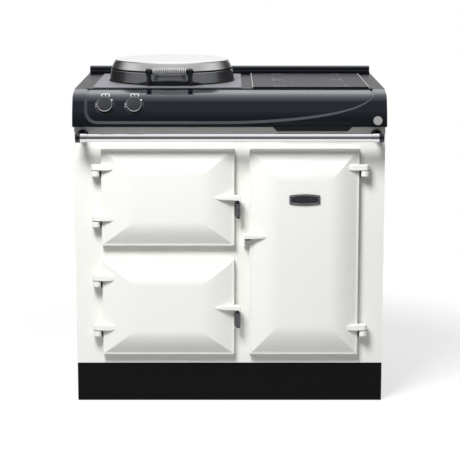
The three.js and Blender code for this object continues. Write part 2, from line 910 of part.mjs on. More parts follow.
// The stops along one side of a door: rim, bevel steps, middle and back again
function doorStops(length, bevel) {
  const near = [0, doorRim];
  for (let step = 1; step <= bevelSteps; step += 1) {
    near.push(doorRim + ((bevel - doorRim) * step) / bevelSteps);
  }
  const far = near.map((stop) => length - stop).reverse();
  return [...near, ...far];
}

// How far the door's front stands proud at a point: four bevels that round over to a flat middle
function doorProud(u, v, [width, height], [bevelX, bevelZ]) {
  const rise = (distance, bevel) => (distance - doorRim) / (bevel - doorRim);
  const across = rise(Math.min(u, width - u), bevelX);
  const along = rise(Math.min(v, height - v), bevelZ);
  const share = THREE.MathUtils.clamp(Math.min(across, along), 0, 1);
  return doorEdge + doorCrown * Math.sin((Math.PI / 2) * share);
}

function crownedDoor({ x, z, bevel }) {
  const size = [x[1] - x[0], z[1] - z[0]];
  const stopsX = doorStops(size[0], bevel[0]);
  const stopsZ = doorStops(size[1], bevel[1]);
  const geometry = new THREE.BoxGeometry(1, 1, 1, stopsX.length - 1, 1, stopsZ.length - 1);
  const position = geometry.attributes.position;
  const stopAt = (stops, share) => stops[Math.round(share * (stops.length - 1))];
  for (let i = 0; i < position.count; i += 1) {
    const u = stopAt(stopsX, position.getX(i) + 0.5);
    const v = stopAt(stopsZ, position.getZ(i) + 0.5);
    const proud = position.getY(i) < 0 ? doorProud(u, v, size, bevel) : 0;
    position.setXYZ(i, x[0] + u, doorBackY - proud, z[0] + v);
  }
  return solid(geometry);
}

const doorBackY = faceY - doorGap;
const lugHeights = ({ z }) => [z[0] + hingeBottomLift, z[1] - hingeTopDrop];
const hingeX = ({ x, side }) => (side < 0 ? x[0] - hingeAxisInset : x[1] + hingeAxisInset);
const hingeY = faceY - hingeAxisProud;

// A lug with its bored boss, at one height of a door's hinge side
function hingeLug(plan, lugZ) {
  const { side } = plan;
  const axisX = hingeX(plan);
  const levels = about(lugZ, hingeLugHeight / 2);
  const edgeX = axisX - side * hingeAxisInset;
  const leaf = polygon([
    [axisX, hingeY - hingeBossRadius],
    [edgeX - side * hingeLugReach, hingeY - hingeBossRadius],
    [edgeX - side * lugRoot, faceY - doorEdge],
    [edgeX, hingeY + hingeBossRadius],
    [axisX, hingeY + hingeBossRadius],
  ]);
  return join(prismZ(leaf, levels), upright(axisX, hingeY, hingeBossRadius, levels, facets.boss));
}

function hingeBore(plan, lugZ) {
  const bottom = lugZ - hingeLugHeight / 2;
  const span = [bottom - cutMargin, bottom + hingePinRise + hingePlay];
  return upright(hingeX(plan), hingeY, hingePinRadius + hingePinClearance, span, facets.pin);
}

const catchFrontY = faceY - catchProud;

// The lug that a person lifts, from the door's face to past its free edge
function catchLug(plan) {
  const { side } = plan;
  const { x: edgeX, z: catchZ } = catchPoint(plan);
  const backOfLug = catchFrontY + catchThickness;
  const outline = polygon([
    [edgeX - side * catchOverhang, catchFrontY],
    [edgeX + side * catchReach, catchFrontY],
    [edgeX + side * pocketInset, faceY - doorEdge],
    [edgeX, backOfLug],
    [edgeX - side * catchOverhang, backOfLug],
  ]);
  return prismZ(outline, about(catchZ, catchHeight / 2));
}

// The stem and end button that carry the coil handle under a catch lug, and the coil itself
function catchHandle(plan) {
  const { x: edgeX, z: catchZ } = catchPoint(plan);
  const axis = [edgeX - plan.side * handleInset, catchFrontY + catchThickness / 2];
  const lugBottom = catchZ - catchHeight / 2;
  const coilTop = lugBottom - handleDrop;
  const coilBottom = coilTop - handleLength;
  const stemSpan = [coilBottom - seatGap, lugBottom + cutMargin];
  const buttonSpan = [coilBottom - seatGap - handleButton, coilBottom - seatGap];
  const stem = upright(...axis, handleStemRadius, stemSpan, facets.wire);
  const button = upright(...axis, handleRadius, buttonSpan, facets.wire);
  const bore = handleStemRadius + seatGap;
  const profile = coilProfile(bore, handleRadius, coilBottom, handleLength, handleTurns);
  return { stem: join(stem, button), coil: turned(profile, axis, facets.wire) };
}

// The hook at the end of the tall door's catch lug
function catchHook(plan) {
  const { x: edgeX, z: catchZ } = catchPoint(plan);
  const outerX = edgeX - plan.side * catchOverhang;
  const hookX = [outerX, outerX + plan.side * hookThickness].sort((a, b) => a - b);
  const hookY = [catchFrontY, catchFrontY + catchThickness];
  return box(hookX, hookY, [catchZ - catchHeight / 2 - hookDrop, catchZ]);
}

function makeDoor(plan) {
  const { name, x, z, handle } = plan;
  const cut = (insetX, insetZ, depth) =>
    box(grow(x, -insetX), [doorBackY - depth, faceY], grow(z, -insetZ));
  const heights = lugHeights(plan);
  const lugs = heights.map((lugZ) => hingeLug(plan, lugZ));
  const fitting = handle ? catchHandle(plan) : { stem: catchHook(plan) };
  let casting = crownedDoor(plan)
    .subtract(cut(pocketInset, pocketInset, pocketDepth))
    .subtract(cut(hollowInsetX, hollowInsetZ, hollowDepth));
  casting = join(casting, ...lugs, catchLug(plan), fitting.stem);
  for (const lugZ of heights) {
    casting = casting.subtract(hingeBore(plan, lugZ));
  }
  place(`door_${name}`, casting, 'whiteEnamel');
  if (fitting.coil) {
    place(`door_handle_${name}`, fitting.coil, 'blackSteel');
  }
  makeDoorLiner(plan);
}

function makeDoorLiner({ name, x, z }) {
  const frontOfLiner = doorBackY - pocketDepth + seatGap;
  const plateInset = -pocketInset - linerClearance;
  const plugInset = -mouthInset - mouthClearance;
  const plate = box(
    grow(x, plateInset),
    [frontOfLiner, doorBackY - seatGap],
    grow(z, plateInset),
  );
  const plug = prismY(
    roundedRectangle(grow(x, plugInset), grow(z, plugInset), mouthRadius),
    [frontOfLiner, frontOfLiner + linerThickness],
  );
  place(`door_liner_${name}`, join(plate, plug), 'castAluminium');
}

// The bare plate on the crown of the tall door, bowed at its top and bottom
function makeNamePlate({ x, z }) {
  const middleX = (x[0] + x[1]) / 2;
  const middleZ = z[1] - namePlateDrop;
  const [left, right] = about(middleX, namePlateWidth / 2);
  const endHeight = namePlateHeight / 2 - namePlateBow;
  const bowHeight = namePlateHeight / 2 + namePlateBow;
  const backOfPlate = doorBackY - doorEdge - doorCrown - seatGap;
  const shape = new THREE.Shape();
  shape.moveTo(left, middleZ - endHeight);
  shape.quadraticCurveTo(middleX, middleZ - bowHeight, right, middleZ - endHeight);
  shape.lineTo(right, middleZ + endHeight);
  shape.quadraticCurveTo(middleX, middleZ + bowHeight, left, middleZ + endHeight);
  const span = [backOfPlate - namePlateThickness, backOfPlate];
  place('name_plate_blank', prismY(shape, span, curveSteps), 'blackEnamel');
}

// A ribbed sleeve: the outer shape of a close-wound wire coil
function coilProfile(inner, outer, start, length, turns) {
  const wire = length / turns;
  const profile = [[inner, start], [outer - wire / 3, start]];
  for (let turn = 0; turn < turns; turn += 1) {
    profile.push([outer, start + wire * (turn + 0.5)]);
    profile.push([outer - wire / 3, start + wire * (turn + 1)]);
  }
  profile.push([inner, start + length], [inner, start]);
  return profile;
}

function makeHingeBracket(plan, lugZ, level) {
  const axisX = hingeX(plan);
  const top = lugZ - hingeLugHeight / 2 - hingePlay;
  const levels = [top - hingeBlockHeight, top];
  const pinSpan = [top - cutMargin, top + hingePlay + hingePinRise];
  const block = upright(axisX, hingeY, hingeBlockRadius, levels, facets.boss);
  const neck = box(about(axisX, hingeNeck / 2), [hingeY, faceY - seatGap], levels);
  const pin = upright(axisX, hingeY, hingePinRadius, pinSpan, facets.pin);
  place(`hinge_bracket_${plan.name}_${level}`, join(block, neck, pin), 'whiteEnamel');
}

// ---------------------------------------------------------------- ovens

const ovenY = [innerY, innerY + ovenDepth];

function makeOven({ oven, runners }, { x, z }) {
  const shell = box(grow(x, ovenWall), ovenY, grow(z, ovenWall));
  const flange = box(grow(x, mouthFlange), [ovenY[0], ovenY[0] + ovenWall], grow(z, mouthFlange));
  const roomY = [ovenY[0] - cutMargin, ovenY[1] - ovenWall];
  const room = prismY(roundedRectangle(x, z, mouthRadius), roomY);
  let body = join(shell, flange).subtract(room);
  const pitch = (z[1] - z[0]) / (runners + 1);
  const railsY = [ovenY[0] + 2 * ovenWall, ovenY[1] - cutMargin];
  for (let level = 1; level <= runners; level += 1) {
    const runnerTop = z[0] + pitch * level;
    for (const wallX of x) {
      const runner = box(about(wallX, runnerRise), railsY, [runnerTop - runnerHeight, runnerTop]);
      body = body.add(runner.intersect(shell));
    }
  }
  place(`oven_${oven}`, body, 'castIron');
  makeShelf(oven, x, z[0] + pitch * Math.ceil(runners / 2) + seatGap, railsY);
  makeOvenElement(oven, x, z[0] - ovenWall - seatGap - elementRadius);
}

// A grid shelf on the runners at one level: a square rim with bars let into it
function makeShelf(oven, x, z, railsY) {
  const spanX = grow(x, -shelfPlay);
  const spanY = [railsY[0] + shelfWire, railsY[1] - shelfEndPlay];
  const spanZ = [z, z + shelfWire];
  const pitch = (spanX[1] - spanX[0] - shelfWire) / (shelfBars + 1);
  let shelf = box(spanX, spanY, spanZ);
  for (let index = 0; index <= shelfBars; index += 1) {
    const near = spanX[0] + index * pitch + shelfWire;
    const gap = [near, near + pitch - shelfWire];
    shelf = shelf.subtract(box(gap, grow(spanY, -shelfWire), grow(spanZ, cutMargin)));
  }
  place(`shelf_${oven}`, shelf, 'chrome');
}

// A serpentine heating rod under an oven's floor
function makeOvenElement(oven, x, z) {
  const run = (x[1] - x[0] - 2 * elementInset) / (elementRuns - 1);
  const near = ovenY[0] + elementInset;
  const far = ovenY[1] - elementInset;
  const path = new THREE.CurvePath();
  const at = (px, py) => new THREE.Vector3(px, py, z);
  const bend = run / 2;
  let previous = at(x[0] + elementInset, ovenY[1] + elementTail);
  for (let index = 0; index < elementRuns; index += 1) {
    const px = x[0] + elementInset + run * index;
    const goesForward = index % 2 === 0;
    const end = at(px, goesForward ? near + bend : far - bend);
    path.add(new THREE.LineCurve3(previous, end));
    if (index < elementRuns - 1) {
      const nextX = px + run;
      const reach = goesForward ? near - bend / 3 : far + bend / 3;
      path.add(new THREE.CubicBezierCurve3(end, at(px, reach), at(nextX, reach), at(nextX, end.y)));
      previous = at(nextX, end.y);
    } else {
      path.add(new THREE.LineCurve3(end, at(px, ovenY[1] + elementTail)));
    }
  }
  const element = tube(path, elementRadius, elementSteps, elementSides);
  place(`oven_element_${oven}`, element, 'blackSteel');
}

function makeInsulation() {
  const innerX = frameX - uprightTube - jacketClearance;
  const jacketY = [innerY + ovenWall + seatGap, frameY[1] - uprightTube - jacketClearance];
  const jacketZ = [frameZ[1] + seatGap, fasciaBottom - jacketDrop];
  let jacket = box([-innerX, innerX], jacketY, jacketZ);
  for (const mouth of mouths) {
    const underOven = mouth.z[0] - ovenWall;
    const underElement = underOven - 2 * elementRadius - 2 * seatGap;
    const room = box(
      grow(mouth.x, ovenWall + seatGap),
      [jacketY[0] - cutMargin, ovenY[1] + seatGap],
      [underElement, mouth.z[1] + ovenWall + seatGap],
    );
    const tailRoom = box(
      grow(mouth.x, 2 * elementRadius - elementInset),
      [ovenY[1], jacketY[1] + cutMargin],
      [underElement, underOven],
    );
    jacket = jacket.subtract(room).subtract(tailRoom);
  }
  place('insulation_jacket', jacket, 'mineralWool');
}

// ---------------------------------------------------------------- top

const surroundX = [leftStrip - halfTop, leftStrip - halfTop + surroundWidth];
const glassX = [surroundX[1] + divider, halfTop - rightStrip];
const topY = [topFrontY + seatGap, backY];
const surroundY = [topY[0] + topFrontMargin, topY[0] + topFrontMargin + surroundDepth];
const hotplateX = surroundX[0] + lidLeftMargin + lidRadius;
const hotplateY = surroundY[0] + lidFrontMargin + lidRadius;
const hotplateAt = [hotplateX, hotplateY];
const hotplateTop = surfaceZ + hotplateRise;
const hotplateBottom = hotplateTop - hotplateThickness;
const hobCutX = grow(glassX, -hobCutInset);
const hobCutY = grow(surroundY, -hobCutInset);

function makeTopPlate() {
  const width = [-halfTop, halfTop];
  const skirtZ = [topZ - topSkirtHeight, topZ];
  const through = grow([topZ - topThickness, topZ], cutMargin);
  const rebateZ = [topZ - panWall - 2 * seatGap, topZ + cutMargin];
  const plate = box(width, topY, [topZ - topThickness, topZ]);
  const skirts = [
    box([-halfTop, topSkirtThickness - halfTop], topY, skirtZ),
    box([halfTop - topSkirtThickness, halfTop], topY, skirtZ),
    box(width, [backY - topSkirtThickness, backY], skirtZ),
  ];
  const holeRadius = panRadius + panWall + seatGap;
  const rebateRadius = panRadius + panFlange + seatGap;
  const body = join(plate, ...skirts)
    .subtract(upright(...hotplateAt, holeRadius, through, facets.disc))
    .subtract(upright(...hotplateAt, rebateRadius, rebateZ, facets.disc))
    .subtract(box(hobCutX, hobCutY, through));
  place('top_plate', body, 'blackEnamel');
}

function makeHotplateSurround() {
  const span = [topZ + seatGap, surfaceZ];
  const opening = upright(...hotplateAt, panRadius, grow(span, cutMargin), facets.disc);
  place('hotplate_surround', box(surroundX, surroundY, span).subtract(opening), 'brushedSteel');
}

function makeHotplate() {
  const flangeTop = topZ - seatGap;
  const ledgeZ = hotplateBottom - seatGap;
  const floorZ = flangeTop - panDepth;
  const lowRadius = panRadius - panLedge;
  const pan = turned(
    [
      [0, floorZ],
      [lowRadius, floorZ],
      [lowRadius, ledgeZ - panWall],
      [panRadius + panWall, ledgeZ - panWall],
      [panRadius + panWall, flangeTop - panWall],
      [panRadius + panFlange, flangeTop - panWall],
      [panRadius + panFlange, flangeTop],
      [panRadius, flangeTop],
      [panRadius, ledgeZ],
      [lowRadius - panWall, ledgeZ],
      [lowRadius - panWall, floorZ + panWall],
      [0, floorZ + panWall],
    ],
    hotplateAt,
    facets.disc,
  );
  place('hotplate_pan', pan, 'zincSteel');

  const plate = turned(
    [
      [0, hotplateBottom],
      [hotplateRadius, hotplateBottom],
      [hotplateRadius, hotplateTop - hotplateChamfer],
      [hotplateRadius - hotplateChamfer, hotplateTop],
      [0, hotplateTop],
    ],
    hotplateAt,
    facets.disc,
  );
  place('hotplate', plate, 'castIron');

  const ringZ = ledgeZ - ringRadius;
  const middleRadius = lowRadius - ringInset;
  const ring = turned(
    [
      [middleRadius - ringRadius, ringZ - ringRadius],
      [middleRadius + ringRadius, ringZ - ringRadius],
      [middleRadius + ringRadius, ringZ + ringRadius],
      [middleRadius - ringRadius, ringZ + ringRadius],
      [middleRadius - ringRadius, ringZ - ringRadius],
    ],
    hotplateAt,
    facets.knob,
  );
  const legs = [0, 1, 2].map((leg) => {
    const angle = (2 * Math.PI * leg) / 3;
    const lx = hotplateX + middleRadius * Math.cos(angle);
    const ly = hotplateY + middleRadius * Math.sin(angle);
    return upright(lx, ly, ringRadius / 2, [floorZ + panWall + seatGap, ringZ], facets.nut);
  });
  place('hotplate_element', join(ring, ...legs), 'blackSteel');
}

// ---------------------------------------------------------------- hotplate lid

const lidRim = surfaceZ + lidGap;
const lidShoulderZ = lidRim + lidShoulderHeight;
const lidHingeY = hotplateY + lidRadius + lidHingeReach;
const lidHingeZ = surfaceZ + lidHingeLift;

// The outer radius of the lid's lower wall at a height
function lidWallAt(z) {
  return lidRadius - ((lidRadius - lidWaistRadius) * (z - lidRim)) / lidWaistHeight;
}

function makeLid() {
  const waistZ = lidRim + lidWaistHeight;
  const crownZ = lidShoulderZ + lidCrown;
  const innerWaist = lidWaistRadius - lidWall - grooveDepth;
  const dome = turned(
    [
      [lidRadius - lidWall, lidRim],
      [lidRadius, lidRim],
      [lidWaistRadius, waistZ],
      [lidWaistRadius - grooveDepth, waistZ],
      [lidWaistRadius - grooveDepth, waistZ + grooveHeight],
      [lidWaistRadius, waistZ + grooveHeight],
      [lidShoulderRadius + lidRounding, lidShoulderZ - 2 * lidRounding],
      [lidShoulderRadius, lidShoulderZ - lidRounding / 2],
      [lidShoulderRadius - lidRounding, lidShoulderZ],
      [lidShoulderRadius / 2, lidShoulderZ + lidCrown * 0.8],
      [0, crownZ],
      [0, crownZ - lidWall],
      [lidShoulderRadius - lidRounding, lidShoulderZ - lidWall],
      [innerWaist, waistZ + grooveHeight],
      [innerWaist, waistZ],
      [lidRadius - lidWall, lidRim],
    ],
    hotplateAt,
    facets.lid,
  );
  place('lid_dome', dome, 'chrome');

  const linerZ = [lidRim + linerPlateLift, lidRim + linerPlateLift + linerPlateHeight];
  const wallRadius = (z) => lidWallAt(z) - lidWall - grooveDepth - seatGap;
  const liner = turned(
    [
      [0, linerZ[0]],
      [wallRadius(linerZ[0]), linerZ[0]],
      [wallRadius(linerZ[1]), linerZ[1]],
      [0, linerZ[1]],
    ],
    hotplateAt,
    facets.lid,
  );
  place('lid_liner', liner, 'castAluminium');
}

// A slice of a ring round the hotplate's axis, centred on the front
function frontSlice(inner, outer, halfAngle, [z0, z1]) {
  const shape = new THREE.Shape();
  const front = -Math.PI / 2;
  shape.absarc(hotplateX, hotplateY, outer, front - halfAngle, front + halfAngle);
  shape.absarc(hotplateX, hotplateY, inner, front + halfAngle, front - halfAngle, true);
  return prismZ(shape, [z0, z1], curveSteps);
}

function makeLidHandle() {
  const gripY = hotplateY - lidRadius - gripReach;
  const gripZ = lidRim + gripLift;
  const halfGrip = gripLength / 2;
  const alongGrip = ([x0, x1], radius, segments) =>
    rod(new THREE.Vector3(x0, gripY, gripZ), new THREE.Vector3(x1, gripY, gripZ), radius, segments);
  const saddleZ = [lidRim + seatGap, lidRim + seatGap + saddleHeight];
  const saddleRadii = [lidRadius + seatGap, lidRadius + seatGap + saddleThickness];
  const parts = [frontSlice(...saddleRadii, saddleAngle, saddleZ)];
  for (const side of [-1, 1]) {
    const offset = side * (halfGrip + knuckleLength / 2);
    const span = about(hotplateX + offset, knuckleLength / 2);
    const rootY = hotplateY - Math.sqrt(lidRadius ** 2 - offset ** 2) - saddleThickness;
    const arm = polygon([
      [rootY + seatGap, saddleZ[0]],
      [rootY + seatGap, saddleZ[1]],
      [gripY + knuckleRadius - armTaper, gripZ + armTaper],
      [gripY - armTaper, gripZ - knuckleRadius + armTaper],
      [rootY - armTaper, saddleZ[0]],
    ]);
    parts.push(alongGrip(span, knuckleRadius, facets.pin), prismX(arm, span));
  }
  parts.push(alongGrip(about(hotplateX, halfGrip + cutMargin), gripRodRadius, facets.wire));
  place('lid_handle_frame', join(...parts), 'blackEnamel');

  const start = new THREE.Vector3(hotplateX - halfGrip, gripY, gripZ);
  const coilLength = gripLength - 2 * seatGap;
  const sleeve = coilProfile(gripRodRadius + seatGap, gripRadius, seatGap, coilLength, gripTurns);
  const grip = turnedAlong(sleeve, start, new THREE.Vector3(1, 0, 0), facets.pin);
  place('lid_handle_coil', grip, 'chrome');
}

function alongLidHinge([x0, x1], radius, segments) {
  const at = (x) => new THREE.Vector3(x, lidHingeY, lidHingeZ);
  return rod(at(x0), at(x1), radius, segments);
}

// The barrel behind the lid and the strap that joins it to the lid's wall
function makeLidHingeArm() {
  const span = about(hotplateX, barrelLength / 2);
  const strapZ = about(lidHingeZ, armHeight / 2);
  const strapY = [hotplateY + lidWaistRadius - armRoot, lidHingeY];
  const [low, high] = grow(strapZ, cutMargin);
  const lidSpace = turned(
    [
      [0, low],
      [lidWallAt(low) + seatGap, low],
      [lidWallAt(high) + seatGap, high],
      [0, high],
    ],
    hotplateAt,
    facets.lid,
  );
  const boreRadius = lidPinRadius + lidPinClearance;
  const arm = join(alongLidHinge(span, barrelRadius, facets.boss), box(span, strapY, strapZ))
    .subtract(lidSpace)
    .subtract(alongLidHinge(grow(span, cutMargin), boreRadius, facets.pin));
  place('lid_hinge_arm', arm, 'chrome');
}

// Two cheeks on a base plate, with the pin fixed in them
function makeLidHingeBlock() {
  const innerX = barrelLength / 2 + sidePlay;
  const outerX = innerX + hingeCheek;
  const seatZ = surfaceZ + seatGap;
  const baseY = [lidHingeY - barrelRadius, lidHingeY + barrelRadius + hingeHeel];
  const baseZ = [seatZ, lidHingeZ - barrelRadius - sidePlay];
  const parts = [box(about(hotplateX, outerX), baseY, baseZ)];
  for (const side of [-1, 1]) {
    const span = about(hotplateX + side * (innerX + hingeCheek / 2), hingeCheek / 2);
    parts.push(alongLidHinge(span, barrelRadius, facets.boss));
    parts.push(box(span, about(lidHingeY, barrelRadius), [seatZ, lidHingeZ]));
  }
  parts.push(alongLidHinge(about(hotplateX, outerX - cutMargin), lidPinRadius, facets.pin));
  place('lid_hinge_block', join(...parts), 'blackEnamel');
}

// ---------------------------------------------------------------- hob

function makeHob() {
  const glassZ = [topZ + seatGap, topZ + seatGap + glassThickness];
  place('hob_glass', box(glassX, surroundY, glassZ), 'glassCeramic');

  const trayX = grow(hobCutX, -seatGap);
  const trayY = grow(hobCutY, -seatGap);
  const trayFloor = topZ - trayDepth;
  const coilSpan = [topZ - coilHeight, topZ];
  const carrierZ = [trayFloor + trayWall / 2, coilSpan[0] - seatGap];
  const middleX = (trayX[0] + trayX[1]) / 2;
  const quarter = (trayY[1] - trayY[0]) / 4;
  let tray = box(trayX, trayY, [trayFloor, topZ]).subtract(
    box(grow(trayX, -trayWall), grow(trayY, -trayWall), [trayFloor + trayWall, topZ + cutMargin]),
  );
  for (const [name, y] of [['front', trayY[0] + quarter], ['rear', trayY[1] - quarter]]) {
    const at = [middleX, y];
    const bore = upright(...at, coilBore, grow(coilSpan, cutMargin), facets.boss);
    const coil = upright(...at, coilRadius, coilSpan, facets.knob).subtract(bore);
    tray = tray.add(upright(...at, carrierRadius, carrierZ, facets.boss));
    place(`induction_coil_${name}`, coil, 'copper');
  }
  place('hob_tray', tray, 'zincSteel');
}

// The bar along the back of the top, with a step along its front
function makeRearBar() {
  const bottom = topZ + seatGap;
  const top = bottom + rearBarHeight;
  const step = bottom + rearBarStepHeight;
  const frontY = backY - rearBarDepth;
  const halfBar = halfTop - rearBarEndInset;
  const outline = polygon([
    [frontY, bottom],
    [backY, bottom],
    [backY, top],
    [frontY + 2 * rearBarStep, top],
    [frontY + rearBarStep, top - rearBarStep],
    [frontY + rearBarStep, step],
    [frontY, step],
  ]);
  place('rear_bar', prismX(outline, [-halfBar, halfBar]), 'blackEnamel');
}

// A box for the mains connection, with a blind gland under it
function makeTerminalBox() {
  const left = terminalInset - halfBody;
  const backOfBox = backY - sheetThickness - seatGap;
  const bottom = plinthHeight + terminalLift;
  const glandAt = [left + terminalWidth / 2, backOfBox - terminalDepth / 2];
  const glandZ = [bottom - glandLength, bottom + cutMargin];
  const boreZ = [bottom - glandLength - cutMargin, bottom + glandLength / 2];
  const body = box(
    [left, left + terminalWidth],
    [backOfBox - terminalDepth, backOfBox],
    [bottom, bottom + terminalHeight],
  )
    .add(upright(...glandAt, glandRadius, glandZ, facets.nut))
    .subtract(upright(...glandAt, glandBore, boreZ, facets.pin));
  place('terminal_box', body, 'blackPlastic');
}

// ---------------------------------------------------------------- assembly

makePlinth();
makeBaseFrame();
makeFrontPlate();
makeSidePanels();
makeRearPanel();
makeFascia();
makeControlPanel();
makeCoolingOutlet();
makeControls();
makeSwitchModule();
makeRoundPlate();
makeTowelRail();
doorPlans.forEach(makeDoor);
makeNamePlate(doorPlans[2]);
for (const plan of doorPlans) {
  const [lower, upper] = lugHeights(plan);
  makeHingeBracket(plan, lower, 'lower');
  makeHingeBracket(plan, upper, 'upper');
}
doorPlans.forEach((plan, index) => makeOven(plan, mouths[index]));
makeInsulation();
makeTopPlate();
makeHotplateSurround();
makeHotplate();
makeLid();
makeLidHandle();
makeLidHingeArm();
makeLidHingeBlock();
makeHob();
makeRearBar();
makeTerminalBox();

export default cooker;
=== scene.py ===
import json
import logging
import math
from collections.abc import Callable, Sequence
from dataclasses import dataclass, replace
from enum import Enum

import bpy
from mathutils import Matrix, Vector


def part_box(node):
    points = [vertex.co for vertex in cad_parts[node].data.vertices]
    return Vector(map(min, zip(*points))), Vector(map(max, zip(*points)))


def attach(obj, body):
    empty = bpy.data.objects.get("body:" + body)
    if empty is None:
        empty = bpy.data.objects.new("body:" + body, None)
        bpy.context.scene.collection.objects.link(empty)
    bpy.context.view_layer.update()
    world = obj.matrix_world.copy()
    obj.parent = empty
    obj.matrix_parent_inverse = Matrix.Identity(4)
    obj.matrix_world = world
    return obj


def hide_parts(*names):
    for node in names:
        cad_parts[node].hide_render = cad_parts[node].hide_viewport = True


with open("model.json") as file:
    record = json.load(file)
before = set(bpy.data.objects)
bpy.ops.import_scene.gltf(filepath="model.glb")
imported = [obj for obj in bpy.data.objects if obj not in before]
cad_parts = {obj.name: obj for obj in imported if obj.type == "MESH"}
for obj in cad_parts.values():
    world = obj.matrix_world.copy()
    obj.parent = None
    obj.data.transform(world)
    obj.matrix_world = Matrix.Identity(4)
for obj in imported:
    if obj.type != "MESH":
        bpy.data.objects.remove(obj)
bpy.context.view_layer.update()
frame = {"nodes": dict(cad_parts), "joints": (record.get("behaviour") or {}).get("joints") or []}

LOG = logging.getLogger("range_cooker")
MM = 0.001
SEAT = 0.3 * MM  # gap between pieces that touch
TINY = 1e-6  # a length or share this small counts as none
NODES = frame["nodes"]
JOINTS = {joint["name"]: joint for joint in frame["joints"]}

Row = tuple[float, float]
Triple = tuple[float, float, float]
Object = bpy.types.Object


# ---- shader nodes


def linear(code: str) -> tuple[float, float, float, float]:
    """Turn an sRGB hex colour to a linear colour.

    Args:
        code: colour such as "#f1f2ed".

    Returns:
        Linear red, green, blue and an alpha of one.
    """
    channels = [int(code[at : at + 2], 16) / 255 for at in (1, 3, 5)]
    red, green, blue = (
        part / 12.92 if part <= 0.04045 else ((part + 0.055) / 1.055) ** 2.4
        for part in channels
    )
    return red, green, blue, 1.0


def add_node(
    tree: bpy.types.NodeTree,
    kind: str,
    inputs: dict[str | int, object] | None = None,
    **settings: object,
) -> bpy.types.Node:
    """Add a shader node with its settings, its values and its links.

    Args:
        tree: the node tree that takes it.
        kind: type of the node, without its ShaderNode prefix.
        inputs: value or output socket for each input.
        settings: properties of the node.

    Returns:
        The new node.
    """
    node = tree.nodes.new("ShaderNode" + kind)
    for key, value in settings.items():
        setattr(node, key, value)
    for key, value in (inputs or {}).items():
        if isinstance(value, bpy.types.NodeSocket):
            tree.links.new(value, node.inputs[key])
        else:
            node.inputs[key].default_value = value
    return node


def ramp(
    tree: bpy.types.NodeTree,
    value: bpy.types.NodeSocket,
    span: Row,
    result: Row = (0.0, 1.0),
    soft: bool = False,
) -> bpy.types.NodeSocket:
    """Add a node that maps one range of a value to another.

    Args:
        tree: the node tree that takes it.
        value: socket of the value.
        span: where the value starts and ends to count.
        result: what the node gives at those two places.
        soft: whether it starts and ends gently.

    Returns:
        The socket of the result.
    """
    inputs = {"Value": value, "From Min": span[0], "From Max": span[1]}
    inputs |= {"To Min": result[0], "To Max": result[1]}
    how = "SMOOTHSTEP" if soft else "LINEAR"
    return add_node(tree, "MapRange", inputs, interpolation_type=how).outputs["Result"]


def work_out(tree: bpy.types.NodeTree, operation: str, *values: object) -> bpy.types.NodeSocket:
    """Add a node that works a number out of values or sockets, and give its socket."""
    inputs = dict(enumerate(values))
    return add_node(tree, "Math", inputs, operation=operation).outputs["Value"]


# ---- finishes


class Pattern(Enum):
    """How a surface was made, which decides the pattern drawn on it."""

    FIRED = "glass fired on metal, with a faint orange peel"
    BRUSHED = "fine lines along one direction"
    CAST = "sand-cast grain"
    SPANGLE = "crystals of hot-dip zinc"
    WOUND = "rings of wire, or of a turning tool"
    FIBRE = "matted fibres"
    BRAIDED = "crossing yarns"
    MOULDED = "fine spark grain of a mould"


PATTERN_CORE = (0.3, 0.7)  # the part of a pattern's range that most of it lies in
ROUGHNESS_SHARES = (0.92, 1.08)  # how far the roughness wanders over that part


